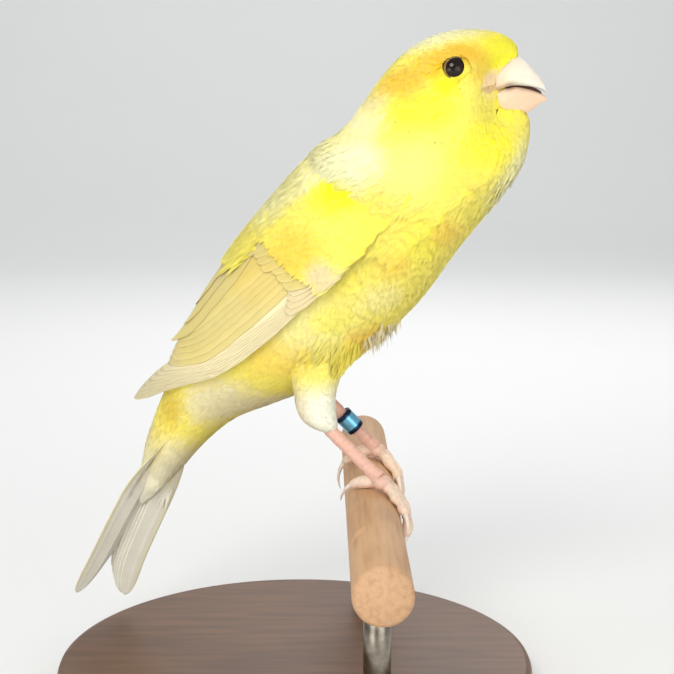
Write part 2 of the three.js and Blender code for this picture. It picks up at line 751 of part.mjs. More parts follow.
function baseForm() {
  const rim = BASE_RADIUS - BASE_EDGE;
  const profile = [
    [0, 0],
    [BASE_RADIUS, 0],
    [BASE_RADIUS, BASE_THICK - BASE_EDGE],
    [rim + BASE_EDGE * 0.7, BASE_THICK - BASE_EDGE * 0.3],
    [rim, BASE_THICK],
    [0, BASE_THICK],
  ];
  const disc = new THREE.LatheGeometry(
    profile.map(([x, y]) => new THREE.Vector2(x, y)),
    32,
  );
  return solid(disc.rotateX(Math.PI / 2));
}

function rodForm(y) {
  const low = BASE_THICK + GAP;
  const high = PERCH_TOP - PERCH_RADIUS;
  const rod = new THREE.CylinderGeometry(ROD_RADIUS, ROD_RADIUS, high - low, 14);
  rod.rotateX(Math.PI / 2).translate(PERCH_X, y, (low + high) / 2);
  const perch = perchForm(GAP).translate([PERCH_X, 0, PERCH_TOP - PERCH_RADIUS]);
  return solid(rod).subtract(perch);
}

// The bird

const bird = new THREE.Group();
bird.name = "canary";
bird.position.set(PERCH_X + BIRD_AHEAD, BIRD_ALONG, PERCH_TOP + BIRD_ABOVE);
bird.rotation.z = -BODY_TURN;

const upperBill = billForm(UPPER_BILL, 1, 0);
const lowerBill = billForm(LOWER_BILL, -1, 0).subtract(billForm(UPPER_BILL, 1, GAP));
const bills = join([billForm(UPPER_BILL, 1, GAP), billForm(LOWER_BILL, -1, GAP)]);
const body = bodyForm(0);
const clearOfBody = bodyForm(GAP);
const eyes = Object.entries({ left: 1, right: -1 });

// Head, neck, torso and tail part along the cuts, a gap apart.
const headSockets = join(eyes.map(([, side]) => ballForm(EYE.x, side * EYE.y, EYE.z, EYE.radius + GAP, 12)));
const lids = join(eyes.map(([, side]) => lidForm(side)));
const head = body.intersect(beyond(HEAD_CUT, GAP / 2)).add(lids).subtract(headSockets).subtract(bills);
const neck = body.intersect(beyond(NECK_CUT, GAP / 2)).subtract(beyond(HEAD_CUT, -GAP / 2)).subtract(bills);
const legs = Object.entries(LEGS);
const thighRoots = join(legs.map(([, leg]) => thighForm(leg, GAP)));
const torso = body.subtract(beyond(NECK_CUT, -GAP / 2)).subtract(beyond(TAIL_CUT, -GAP / 2)).subtract(thighRoots);
const coverts = body.intersect(beyond(TAIL_CUT, GAP / 2));
const tail = coverts.add(tailFeathers().intersect(beyond(TAIL_CUT, GAP / 2)));

bird.add(meshOf("head", head, "plumage"));
bird.add(meshOf("neck", neck, "plumage"));
bird.add(meshOf("torso", torso, "plumage"));
bird.add(meshOf("tail", tail, "tail"));

// Two small hollows in the upper bill are its nostrils.
const nostrils = join(
  eyes.map(([, side]) => {
    const hollow = new THREE.SphereGeometry(1, 12, 8).scale(NOSTRIL.length, 0.5, NOSTRIL.height);
    const at = turnHead(new THREE.Vector3(NOSTRIL.x, side * NOSTRIL.y, NOSTRIL.z));
    return solid(hollow.translate(at.x, at.y, at.z));
  }),
);
bird.add(meshOf("bill_upper", upperBill.subtract(nostrils), "bill"));
bird.add(meshOf("bill_lower", lowerBill, "bill"));
for (const [name, side] of eyes) {
  bird.add(meshOf(`eye_${name}`, ballForm(EYE.x, side * EYE.y, EYE.z, EYE.radius, 12), "eye"));
  const wing = wingForm(side).intersect(sideOf(side)).subtract(clearOfBody);
  bird.add(meshOf(`wing_${name}`, wing, "wing"));
}

for (const [name, leg] of legs) {
  const tarsus = tarsusForm(leg, 0);
  const foot = footForm(leg).subtract(tarsusForm(leg, GAP));
  const thigh = thighForm(leg, 0).subtract(tarsusForm(leg, GAP));
  bird.add(meshOf(`thigh_${name}`, thigh, "thigh"));
  bird.add(meshOf(`tarsus_${name}`, tarsus, "skin"));
  const claws = TOES.map((toe) => [toe, clawForm(leg, toe)]);
  const toeEnds = join(TOES.map((toe) => toeForm(leg, toe, GAP)));
  bird.add(meshOf(`foot_${name}`, foot, "skin"));
  for (const [toe, claw] of claws)
    bird.add(meshOf(`claw_${name}_${toe.name}`, claw.subtract(toeEnds), "claw"));
}
bird.add(meshOf("leg_ring", ringForm(), "ring"));

const display = new THREE.Group();
display.name = "canary_on_perch";
display.add(bird);

const perch = meshOf("perch", perchForm(0), "perch");
perch.position.set(PERCH_X, 0, PERCH_TOP - PERCH_RADIUS);
display.add(perch);
display.add(meshOf("stand_base", baseForm(), "stand"));
display.add(meshOf("stand_rod_front", rodForm(-ROD_SPACING / 2), "stand"));
display.add(meshOf("stand_rod_back", rodForm(ROD_SPACING / 2), "stand"));

export default display;
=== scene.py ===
"""The looks of a yellow canary that grips a round wooden perch on a plain display stand."""

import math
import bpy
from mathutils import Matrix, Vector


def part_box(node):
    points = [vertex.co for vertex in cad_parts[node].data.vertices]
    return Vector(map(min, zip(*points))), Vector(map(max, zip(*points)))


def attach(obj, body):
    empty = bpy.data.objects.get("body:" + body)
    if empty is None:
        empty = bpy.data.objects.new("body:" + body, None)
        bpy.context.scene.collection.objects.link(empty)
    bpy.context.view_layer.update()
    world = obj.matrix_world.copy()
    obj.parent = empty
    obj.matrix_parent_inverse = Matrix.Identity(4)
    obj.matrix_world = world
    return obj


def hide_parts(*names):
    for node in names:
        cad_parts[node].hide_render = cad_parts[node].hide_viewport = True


bl_info = {
    "name": "Canary on a Perch",
    "version": (1, 0, 0),
    "blender": (4, 5, 0),
    "location": "3D View > Sidebar > Canary",
    "description": "Builds a life-size canary with its plumage, perch, leg ring and stand",
    "category": "Object",
}

import bmesh
import bpy
import numpy as np
from mathutils import Euler, Vector

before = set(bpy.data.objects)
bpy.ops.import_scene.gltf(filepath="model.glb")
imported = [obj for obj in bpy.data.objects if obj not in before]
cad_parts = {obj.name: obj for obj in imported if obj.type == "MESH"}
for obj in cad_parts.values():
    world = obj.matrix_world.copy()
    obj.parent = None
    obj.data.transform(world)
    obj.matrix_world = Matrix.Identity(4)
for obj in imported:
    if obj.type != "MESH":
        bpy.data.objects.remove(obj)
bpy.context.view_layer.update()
MM = 0.001

# Shapes are worked out in millimetres in the bird's own frame: x forwards, y to its left
# and z up, from a point between its feet. That frame stands here in the row frame.
BIRD_PLACE = np.array([16.0, 2.0, 46.2])
BIRD_TURN = math.radians(-18.7)
HEAD_TURN = math.radians(18)
NECK_PIVOT = np.array([8.0, 0.0, 0.0])
# The neck turns little by little from the shoulders to the throat, measured along this way
NECK_WAY = (0.55, 0.835)
SHOULDERS, THROAT = 53.0, 67.0

# The body from the tail coverts to the face: back x and z, belly x and z, half width
BODY = [
    (-51.0, -5.5, -46.4, -9.4, 1.6),
    (-49.3, 1.0, -42.2, -5.0, 4.4),
    (-46.0, 9.2, -36.4, 1.4, 6.0),
    (-42.2, 17.0, -29.6, 6.9, 8.2),
    (-37.4, 25.8, -20.6, 10.8, 11.0),
    (-31.6, 34.6, -10.6, 15.4, 13.2),
    (-25.2, 43.2, -0.8, 23.2, 14.8),
    (-18.2, 51.2, 8.4, 32.4, 15.4),
    (-11.6, 58.4, 15.6, 42.4, 14.8),
    (-6.2, 64.8, 22.4, 50.8, 13.2),
    (-2.0, 70.6, 27.2, 57.6, 11.2),
    (1.8, 75.8, 28.8, 62.4, 9.6),
    (6.4, 80.2, 29.0, 65.4, 8.6),
    (11.8, 82.8, 28.8, 67.0, 8.0),
    (17.6, 83.6, 28.4, 67.8, 7.2),
    (22.8, 82.9, 28.2, 68.4, 5.7),
    (25.9, 81.0, 26.6, 69.6, 3.9),
    (26.6, 78.8, 25.4, 73.0, 1.6),
]
BODY_LENGTH = 114.0
BODY_SQUARE = 2.15  # 2 makes the sections ellipses, and more makes them boxier
# The face narrows to the bill from one x to another, most of all between chin and brow
FACE_FROM, FACE_TO, FACE_SHARE = 16.5, 25.0, 0.58
CHIN = (61.0, 70.0)
BROW = (76.5, 81.0)
BROW_SHARE = 0.7

# The bed that a folded wing lies on, from the wing's tip past its shoulder
BED = [(-50.6, 9.4, -48.2, 6.6, 2.0), (-44.6, 17.4, -35.4, 9.0, 6.4)] + BODY[4:12]
BED_OFF = 1.4
BED_SINK = 0.45  # share of it lost at the shoulder, where the wing runs into the mantle
BED_WHOLE = 7  # the section at which the wing's shoulder lies
WING_LOW = (90, 108)

EYE = (14.0, 5.75, 76.1)
EYE_OUT = (0.25, 1.0, 0.1)  # the way the left eye looks
EYE_RADIUS = 2.6
EYE_OPENING = 2.45  # where the coat round the eye ends

# Bill sections: x, culmen or cutting edge height, lower height, half width
UPPER_BILL = [
    (19.4, 78.6, 71.5, 3.4),
    (22.8, 79.4, 72.6, 4.3),
    (25.4, 79.2, 73.2, 3.9),
    (27.8, 77.6, 73.1, 2.8),
    (29.6, 75.8, 72.8, 1.75),
    (31.2, 73.9, 72.4, 0.75),
    (31.9, 72.4, 71.9, 0.18),
]
LOWER_BILL = [
    (19.6, 70.9, 67.8, 3.3),
    (22.8, 72.2, 67.3, 4.0),
    (25.4, 72.9, 67.3, 3.5),
    (27.8, 72.6, 67.8, 2.5),
    (29.6, 72.15, 68.9, 1.55),
    (31.2, 71.5, 70.1, 0.7),
    (32.0, 71.0, 70.5, 0.18),
]

# Legs: side, ankle, foot, and the turn of the front and hind toes off the perch's square
LEGS = {
    "right": {"side": -1, "ankle": (-6.4, 9.0, 7.9), "foot": (5.0, 12.2, -0.6), "turn": 28, "hind": 38},
    "left": {"side": 1, "ankle": (-12.2, 7.3, 10.1), "foot": (-3.1, 11.6, -0.6), "turn": 24, "hind": 6},
}
# Thigh sections: height above the ankle, set back, set in, half depth, half width
THIGH = [
    (17.0, 3.2, 2.2, 6.4, 4.6),
    (12.3, 3.3, 1.2, 5.4, 4.6),
    (9.4, 3.3, 0.6, 4.6, 4.2),
    (6.4, 3.3, 0.3, 4.0, 3.7),
    (3.4, 2.9, 0.1, 3.8, 3.3),
    (1.6, 2.1, 0.0, 3.3, 2.8),
    (0.5, 1.2, 0.0, 2.5, 2.2),
    (-0.3, 0.4, 0.0, 0.9, 0.9),
]
# Between these heights above the ankle a thigh stands out of the body, by this at most
THIGH_OUT = (5, 17)
THIGH_OUT_MOST = 4
# Toes: name, turn, length, radius, joints, claw
TOES = [
    ("inner", 26, 8.6, 0.92, 2, 4.2),
    ("middle", 0, 12.0, 1.0, 3, 4.8),
    ("outer", -26, 9.4, 0.9, 3, 4.2),
    ("hind", 0, 7.8, 1.1, 1, 6.0),
]
PERCH_RADIUS = 5.1
PERCH_LENGTH = 112.0
PERCH_TOP = 44.0
PERCH_X = 15.0
BASE_TOP = 7
ROD_RADIUS = 2.5
GRIP = np.array([1.0, 0.0, PERCH_RADIUS + 2.2])

TAIL_LINE = [(-38.4, 11.0), (-44.2, 0.4), (-50.6, -11.2), (-57.0, -23.6), (-61.6, -33.2)]
TAIL_LENGTHS = (0.86, 0.895, 0.93, 0.965, 0.99, 1.0)
TAIL_ROLL = math.radians(36)

# Camera and lights, in metres and degrees
CAMERA_PLACE = (0.00490, -0.27679, 0.1184)
CAMERA_TURN = (80.4, 0, -0.7)
CAMERA_LENS = 77.7
SENSOR_WIDTH = 36.0
SKY = (0.92, 0.95, 1.0, 1)
SKY_STRENGTH = 0.45
# Lights: name, place, target, size, watts, colour
LIGHTS = [
    ("key", (-0.16, -0.46, 0.46), (0, 0, 0.08), 0.30, 1.95, (1.0, 0.98, 0.94)),
    ("fill", (0.30, -0.48, 0.09), (0, 0, 0.09), 0.50, 1.25, (1, 1, 1)),
    ("low", (-0.30, -0.40, 0.06), (-0.03, 0, 0.04), 0.30, 0.6, (1, 1, 1)),
    ("wall", (0.0, 0.30, 0.95), (0, 1.1, 0.25), 0.50, 4.0, (1, 1, 1)),
    ("back", (0.10, 0.45, 0.45), (0, 0, 0.08), 0.40, 1.0, (1, 1, 1)),
]

SIDES = (("left", 1), ("right", -1))
TAU = 2 * math.pi
BARB_TRIANGLES = 10
MOST_TRIANGLES = 190000  # of one piece of small feathers
LINE_STEPS = 5  # of a small feather's middle line over its ground


def srgb(red, green, blue):
    """A linear colour from the three numbers, 0 to 255, that a screen shows."""
    parts = []
    for value in (red, green, blue):
        share = value / 255
        parts.append(share / 12.92 if share <= 0.04045 else ((share + 0.055) / 1.055) ** 2.4)
    return tuple(parts)


def smooth(low, high, value):
    """0 below low and 1 above high, with a soft step between."""
    share = np.clip((value - low) / (high - low), 0, 1)
    return share * share * (3 - 2 * share)


def mix(first, second, share):
    """The first at share 0, the second at share 1, and between them on the way."""
    return first + (second - first) * share


def power(value, exponent):
    """A power that keeps the value's sign."""
    return np.sign(value) * np.abs(value) ** exponent


def through(rows, t):
    """Points on the smooth line through the rows, at t from 0 to 1 along it."""
    rows = np.asarray(rows, float)
    last = len(rows) - 1
    place = np.clip(t, 0, 1) * last
    first = np.minimum(place.astype(int), last - 1)
    f = (place - first)[..., None]
    a, b, c, d = (rows[np.clip(first + step, 0, last)] for step in (-1, 0, 1, 2))
    cubic = (3 * b - a - 3 * c + d) * f**3
    return 0.5 * (2 * b + (c - a) * f + (2 * a - 5 * b + 4 * c - d) * f**2 + cubic)


def unit(vectors):
    """The vectors at a length of 1."""
    return vectors / np.maximum(np.linalg.norm(vectors, axis=-1, keepdims=True), 1e-12)


def turn_about_z(points, angle):
    """Points turned by an angle, one for all or one for each, about the z axis."""
    cos, sin = np.cos(angle), np.sin(angle)
    x, y = points[..., 0], points[..., 1]
    return np.stack([x * cos - y * sin, x * sin + y * cos, points[..., 2]], -1)


def head_share(points):
    """How far along a point is from the shoulders, 0, to the throat, 1."""
    return smooth(SHOULDERS, THROAT, points[..., 0] * NECK_WAY[0] + points[..., 2] * NECK_WAY[1])


def turn_head(points):
    """Turns the neck and head of the straight bird to where it looks."""
    return turn_about_z(points - NECK_PIVOT, HEAD_TURN * head_share(points)) + NECK_PIVOT


def to_place(points):
    """From the bird's frame to the row frame, both in millimetres."""
    return turn_about_z(points, BIRD_TURN) + BIRD_PLACE


def to_row(points):
    """From the bird's frame in millimetres to the row frame in metres."""
    return to_place(points) * MM


def straighten(points):
    """From the row frame in metres to the straight bird in millimetres."""
    bird = turn_about_z(points / MM - BIRD_PLACE, -BIRD_TURN)
    return turn_about_z(bird - NECK_PIVOT, -HEAD_TURN * head_share(bird)) + NECK_PIVOT


def one_side(points):
    """The same points with those of the right side mirrored to the left."""
    return points * (1, 0, 1) + np.abs(points) * (0, 1, 0)


# Grounds: surfaces that feathers stand on, as functions of two places on them and a lift


def section_point(rows, t, angle, lift):
    """A point on a body of sections; angle is 0 at the back and grows to the bird's left."""
    row = through(rows, t)
    back, belly = row[..., 0:2], row[..., 2:4]
    up = (back - belly) / 2
    height = np.linalg.norm(up, axis=-1)
    middle = (back + belly) / 2
    up = up / height[..., None]
    over = (height + lift) * power(np.cos(angle), 2 / BODY_SQUARE)
    side = (row[..., 4] + lift) * power(np.sin(angle), 2 / BODY_SQUARE)
    place = middle + up * over[..., None]
    return np.stack([place[..., 0], side, place[..., 1]], -1)


def body_ground(t, angle, lift):
    """The straight bird's outline, narrowing in plan from the cheeks to the bill."""
    points = section_point(BODY, t, angle, 0 * t)
    ahead = smooth(FACE_FROM, FACE_TO, points[..., 0])
    between = smooth(*CHIN, points[..., 2]) * (1 - BROW_SHARE * smooth(*BROW, points[..., 2]))
    share = 1 - FACE_SHARE * ahead * between
    points = section_point(BODY, t, angle, lift)
    points[..., 1] -= (1 - share) * (points[..., 1] - lift * np.sin(angle))
    return points


def bed_ground(side):
    """The bed of one wing: along from its tip, 0, to its shoulder, 1, across in millimetres."""

    def ground(along, across, lift):
        t = np.clip(along, 0, 1.28) * BED_WHOLE / (len(BED) - 1)
        row = through(BED, t)
        height = np.hypot(row[..., 0] - row[..., 2], row[..., 1] - row[..., 3]) / 2
        low = np.radians(mix(WING_LOW[0], WING_LOW[1], along))
        reach = np.hypot(height, row[..., 4]) * math.sqrt(0.5) + BED_OFF
        off = (BED_OFF + lift) * (1 - BED_SINK * smooth(0.92, 1.0, along))
        return section_point(BED, t, side * (low - across / reach), off)

    return ground


def thigh_ground(leg):
    """The feathered leg: t from inside the belly, 0, to the ankle, 1, and an angle round it."""
    ankle = np.array(leg["ankle"]) * (1, leg["side"], 1)

    def ground(t, angle, lift):
        row = through(THIGH, t)
        x = ankle[0] - row[..., 1] + (row[..., 3] + lift) * np.cos(angle)
        y = ankle[1] - leg["side"] * row[..., 2] + (row[..., 4] + lift) * np.sin(angle)
        return np.stack([x, y, ankle[2] + row[..., 0]], -1)

    return ground


def thigh_stand(points):
    """How far the thighs stand out past points of the body."""
    rows = np.array(THIGH)[::-1]
    out = np.zeros(points.shape[:-1])
    for leg in LEGS.values():
        x, y, z = leg["ankle"]
        height = points[..., 2] - z
        columns = (np.interp(height, rows[:, 0], rows[:, column]) for column in (1, 2, 3, 4))
        back, inwards, deep, wide = columns
        share = np.clip(np.abs(points[..., 0] - x + back) / deep, 0, 1)
        edge = y - inwards + wide * np.sqrt(1 - share**2)
        beside = points[..., 1] * leg["side"]
        near = (share < 1) & (beside > y - inwards)
        near &= (height > THIGH_OUT[0]) & (height < THIGH_OUT[1])
        out = np.maximum(out, np.clip(edge - beside, 0, THIGH_OUT_MOST) * near)
    return out


def coat_ground(t, angle, lift):
    """The straight bird's outline, going on past its end along the tail."""
    return past_tail(body_ground(t, angle, lift), np.maximum(-t, 0) * BODY_LENGTH)


def past_tail(points, beyond):
    """Feathers that reach past the end of the body close down on the tail."""
    end, ahead, up = tail_ground(np.array([0.4, 0.41, 0.4]), np.zeros(3), np.array([0.2, 0.2, 1.2]))
    points = points + unit(ahead - end) * beyond[..., None]
    height = ((points - end) * (up - end)).sum(-1)
    return points - (up - end) * (height * 0.85 * smooth(0.0, 6.5, beyond))[..., None]


def tail_ground(t, across, lift):
    """The tail: t along it, across to the bird's left, and lift off its middle."""
    middle = through(TAIL_LINE, t)
    ahead = unit(through(TAIL_LINE, t + 0.01) - through(TAIL_LINE, t - 0.01))
    along = np.stack([ahead[..., 0], 0 * t, ahead[..., 1]], -1)
    roll = (TAIL_ROLL * smooth(0.1, 0.5, t))[..., None]
    flat = np.broadcast_to(np.array([0.0, 1.0, 0.0]), along.shape)
    left = flat * np.cos(roll) + np.cross(along, flat) * np.sin(roll)
    up = np.cross(left, along)
    middle = np.stack([middle[..., 0], 0 * t, middle[..., 1]], -1)
    return middle + left * across[..., None] + up * lift[..., None]


# Meshes


def new_object(name, data):
    """An object in the scene for a mesh, a light or a camera."""
    item = bpy.data.objects.new(name, data)
    bpy.context.scene.collection.objects.link(item)
    return item


def mesh_object(name, mesh, material, smooth_faces=True):
    """An object for a mesh, with its material and its way of shading."""
    mesh.polygons.foreach_set("use_smooth", np.full(len(mesh.polygons), smooth_faces))
    mesh.materials.append(material)
    return new_object(name, mesh)


def mesh_piece(name, points, faces, material):
    """An object with the given points in the row frame, in metres, and faces."""
    mesh = bpy.data.meshes.new(name)
    faces = np.asarray(faces)
    mesh.vertices.add(len(points))
    mesh.vertices.foreach_set("co", np.asarray(points, np.float32).ravel())
    mesh.loops.add(faces.size)
    mesh.loops.foreach_set("vertex_index", faces.astype(np.int32).ravel())
    mesh.polygons.add(len(faces))
    starts = np.arange(0, faces.size, faces.shape[1], dtype=np.int32)
    mesh.polygons.foreach_set("loop_start", starts)
    mesh.update(calc_edges=True)
    return mesh_object(name, mesh, material)


def bird_piece(name, points, faces, material):
    """An object with a closed form of the bird's frame, its faces turned outwards."""
    return mesh_piece(name, to_row(points), outward(faces, points), material)


def paint(piece, name, colours):
    """Keeps a colour for each point under a name that the materials read."""
    layer = piece.data.attributes.new(name, "FLOAT_COLOR", "POINT")
    rgba = np.ones((len(colours), 4), np.float32)
    rgba[:, :3] = colours
    layer.data.foreach_set("color", rgba.ravel())


def unwrap(piece, name, places):
    """Gives the piece a UV map with a place for each point."""
    corners = np.zeros(len(piece.data.loops), np.int32)
    piece.data.loops.foreach_get("vertex_index", corners)
    layer = piece.data.uv_layers.new(name=name)
    layer.uv.foreach_set("vector", places[corners].astype(np.float32).ravel())


def shade_along(piece, normals):
    """Shades the piece by the given normal at each point."""
    piece.data.normals_split_custom_set_from_vertices(unit(normals).tolist())


def finish_piece(piece, slot, *nodes):
    """The piece rides on the bird and stands for the named nodes."""
    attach(piece, "root")
    if nodes:
        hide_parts(*nodes)
    return piece


def from_bmesh(name, bm, material, smooth_faces=True):
    """An object from a bmesh whose points are in millimetres in the row frame."""
    bmesh.ops.scale(bm, vec=(MM, MM, MM), verts=bm.verts)
    mesh = bpy.data.meshes.new(name)
    bm.to_mesh(mesh)
    bm.free()
    return mesh_object(name, mesh, material, smooth_faces)


def spun(profile, steps, closed):
    """A bmesh of a line of x and z turned once round the z axis."""
    bm = bmesh.new()
    rim = [bm.verts.new((x, 0, z)) for x, z in profile]
    following = rim[1:] + rim[:1] if closed else rim[1:]
    edges = [bm.edges.new(pair) for pair in zip(rim, following)]
    turn = {"cent": (0, 0, 0), "axis": (0, 0, 1), "angle": TAU, "steps": steps}
    bmesh.ops.spin(bm, geom=edges, use_merge=True, **turn)
    return bm


def grid_tube(sides, steps, place):
    """Points and faces of a closed tube; place(t, angle, rim) gives a point."""
    t, angle = np.meshgrid(np.linspace(0, 1, steps + 1), np.arange(sides) * TAU / sides, indexing="ij")
    wall = place(t.ravel(), angle.ravel(), np.ones(t.size))
    ends = place(np.array([0.0, 1.0]), np.zeros(2), np.zeros(2))
    index = np.arange(t.size).reshape(t.shape)
    following = np.roll(index, -1, 1)
    low, high = index[:-1], index[1:]
    low_next, high_next = following[:-1], following[1:]
    faces = [np.stack([low, low_next, high_next], -1).reshape(-1, 3)]
    faces.append(np.stack([low, high_next, high], -1).reshape(-1, 3))
    faces.append(np.stack([np.full(sides, t.size), following[0], index[0]], -1))
    faces.append(np.stack([np.full(sides, t.size + 1), index[-1], following[-1]], -1))
    return np.concatenate([wall, ends]), np.concatenate(faces)


def curve_tube(line, sides, steps, size, deep_towards):
    """A closed tube along a line of points; size(t) gives its two half sizes."""
    line = np.asarray(line, float)

    def place(t, angle, rim):
        middle = through(line, t)
        along = unit(through(line, t + 0.01) - through(line, t - 0.01))
        deep = deep_towards(middle)
        deep = unit(deep - along * (deep * along).sum(-1, keepdims=True))
        wide = np.cross(along, deep)
        half, depth = size(t)
        sideways = wide * (rim * half * np.sin(angle))[:, None]
        return middle + sideways + deep * (rim * depth * np.cos(angle))[:, None]

    return grid_tube(sides, steps, place)


def gather(parts):
    """Joins lists of points and faces into one."""
    points, faces, start = [], [], 0
    for some, rows in parts:
        points.append(some)
        faces.append(rows + start)
        start += len(some)
    return np.concatenate(points), np.concatenate(faces)


def outward(faces, points):
    """The same triangles, turned round if they enclose their form inside out."""
    a, b, c = (points[faces[:, corner]] for corner in range(3))
    volume = (a * np.cross(b, c)).sum()
    return faces if volume > 0 else faces[:, ::-1]


# Colours and markings


def colour_property(label, words, *rgb):
    """A colour of the panel, from its label, its words and its numbers from 0 to 255."""
    look = {"subtype": "COLOR", "size": 3, "min": 0, "max": 1}
    return bpy.props.FloatVectorProperty(name=label, description=words, default=srgb(*rgb), **look)


COLOURS = {
    "lemon": ("Lemon", "Main colour of the plumage", 253, 235, 88),
    "bright": ("Bright yellow", "Cheek, forehead, throat and shoulder", 255, 244, 14),
    "gold": ("Gold", "Stripe over the eye and the wing coverts", 240, 190, 22),
    "orange": ("Orange", "Patches on the breast and flank", 250, 200, 62),
    "cream": ("Cream", "Frosting on crown, mantle and throat", 253, 250, 196),
    "buff": ("Buff", "Nape and the side of the neck", 246, 226, 150),
    "beige": ("Beige", "Vent and under the tail", 236, 222, 178),
    "rump": ("Rump", "Yellow beside the root of the tail", 228, 196, 44),
    "down": ("Down", "White down of the thighs", 253, 252, 236),
    "thigh_shade": ("Thigh shade", "Warm beige behind the thighs", 238, 216, 172),
    "grey": ("Grey", "Tips of the wing feathers", 186, 176, 142),
    "olive": ("Olive", "Tertials and lower back", 222, 204, 126),
    "quill": ("Quill", "Cream of the flight feathers", 244, 230, 184),
    "wrist": ("Wrist", "Pale grey-beige at the bend of the wing", 228, 212, 164),
    "tail": ("Tail", "Pale band of the tail", 250, 248, 232),
    "tail_edge": ("Tail edge", "Yellow-green edges of the tail feathers", 226, 216, 150),
    "bill": ("Bill", "Upper bill", 255, 246, 226),
    "bill_low": ("Lower bill", "Lower bill", 250, 214, 182),
    "gape": ("Gape", "Brown skin at the corners of the mouth", 190, 140, 88),
    "leg": ("Leg", "Flesh of the shanks", 232, 186, 166),
    "toe": ("Toe", "Pale scales of the toes", 244, 220, 198),
    "claw": ("Claw", "Horn of the claws", 248, 234, 220),
    "ring": ("Ring", "Leg ring", 128, 206, 238),
    "ring_end": ("Ring ends", "Dark ends of the leg ring", 22, 40, 72),
    "wood": ("Wood", "Perch", 208, 166, 126),
    "wood_dark": ("Dark wood", "Darker grain of the perch", 172, 128, 92),
    "stand": ("Stand", "Stained wood of the base", 112, 78, 52),
    "floor": ("Floor", "Plain pale floor", 232, 232, 230),
}


class CanaryColours(bpy.types.PropertyGroup):
    """Colours of the canary, its perch and its stand."""

    __annotations__ = {key: colour_property(*values) for key, values in COLOURS.items()}


class CanaryCoat(bpy.types.PropertyGroup):
    """Sizes of the feathers, in metres."""

    depth: bpy.props.FloatProperty(
        name="Coat depth",
        description="How far the skin lies below the outline of the feathers",
        default=0.0010,
        unit="LENGTH",
    )
    body_spacing: bpy.props.FloatProperty(
        name="Body spacing",
        description="Distance between neighbouring body feathers",
        default=0.0010,
        unit="LENGTH",
    )
    face_spacing: bpy.props.FloatProperty(
        name="Face spacing",
        description="Distance between neighbouring feathers of the face",
        default=0.0005,
        unit="LENGTH",
    )
    seed: bpy.props.IntProperty(name="Seed", description="Seed of every random draw", default=7)


def colour(name):
    """A colour of the panel, as three linear numbers."""
    return np.array(getattr(bpy.context.scene.canary_colours, name))


# Markings: colour, strength, middle and reach, in millimetres on the straight bird
MARKINGS = [
    ("buff", 0.85, (1.5, 7.0, 71.0), (6.0, 9.0, 8.0)),
    ("cream", 0.55, (-3.0, 4.0, 66.0), (10.0, 12.0, 9.0)),
    ("cream", 0.92, (0.5, 12.5, 61.0), (9.5, 8.0, 8.0)),
    ("cream", 0.25, (11.0, 11.0, 60.0), (9.0, 6.0, 9.0)),
    ("cream", 0.42, (-6.0, 13.0, 32.0), (13.0, 8.0, 10.0)),
    ("cream", 0.8, (12.0, 1.0, 83.2), (12.0, 6.0, 3.4)),
    ("bright", 0.95, (23.5, 3.0, 79.0), (6.0, 7.5, 5.0)),
    ("bright", 0.9, (11.0, 8.5, 72.0), (9.0, 5.5, 5.2)),
    ("bright", 0.85, (22.0, 6.5, 65.5), (8.0, 8.0, 6.5)),
    ("cream", 0.75, (28.0, 0.0, 60.0), (4.6, 9.0, 9.0)),
    ("gold", 1.0, (15.5, 5.5, 79.0), (8.0, 6.0, 3.0)),
    ("gold", 0.95, (6.5, 7.5, 76.8), (8.0, 7.0, 3.6)),
    ("gold", 0.5, (11.0, 7.0, 78.4), (6.0, 5.0, 2.6)),
    ("gold", 0.6, (20.2, 6.0, 76.8), (3.4, 5.0, 3.2)),
    ("gold", 0.5, (8.0, 9.0, 73.8), (4.0, 4.0, 1.3)),
    ("bill_low", 0.8, (22.8, 4.5, 74.3), (3.2, 4.0, 2.6)),
    ("gape", 0.75, (22.6, 4.5, 73.6), (3.6, 4.0, 0.5)),
    ("bright", 0.45, (14.0, 9.5, 49.0), (8.0, 7.0, 7.0)),
    ("orange", 0.6, (19.5, 8.0, 49.5), (5.0, 6.0, 4.0)),
    ("orange", 0.5, (9.5, 12.0, 44.5), (5.0, 5.0, 3.4)),
    ("cream", 0.35, (6.0, 10.0, 38.0), (7.0, 6.0, 5.0)),
    ("orange", 0.7, (3.5, 6.5, 28.5), (7.5, 8.0, 4.8)),
    ("orange", 0.45, (-12.5, 13.5, 25.0), (9.0, 6.0, 6.5)),
    ("bright", 0.5, (-1.5, 13.0, 33.0), (6.0, 5.0, 5.0)),
    ("beige", 0.9, (-25.0, 8.0, 15.5), (12.0, 11.0, 8.5)),
    ("beige", 0.8, (-14.0, 5.0, 13.0), (9.0, 12.0, 5.0)),
    ("beige", 0.85, (-38.0, 4.0, 2.0), (10.0, 9.0, 10.0)),
    ("buff", 0.8, (-45.5, 5.0, 4.0), (6.0, 7.0, 14.0)),
    ("rump", 0.95, (-37.4, 8.8, 14.4), (6.0, 5.0, 6.0)),
    ("rump", 0.45, (-42.0, 6.5, 8.0), (3.6, 5.0, 6.0)),
    ("tail", 0.8, (-49.0, 2.0, -9.0), (9.0, 8.0, 10.0)),
]
LEAST_FROST = 0.16
# Frost on the tips: strength, middle and reach
FROST = [
    (0.9, (-1.0, 6.0, 66.0), (12.0, 14.0, 12.0)),
    (0.8, (13.0, 2.0, 83.0), (13.0, 7.0, 4.5)),
    (0.6, (27.0, 0.0, 58.0), (6.0, 12.0, 12.0)),
]


def spot(points, centre, reach):
    """How strongly a marking shows at each point, 1 in its middle and 0 past its reach."""
    away = np.linalg.norm((points - np.array(centre)) / np.array(reach), axis=-1)
    return 1 - smooth(0.35, 1.0, away)


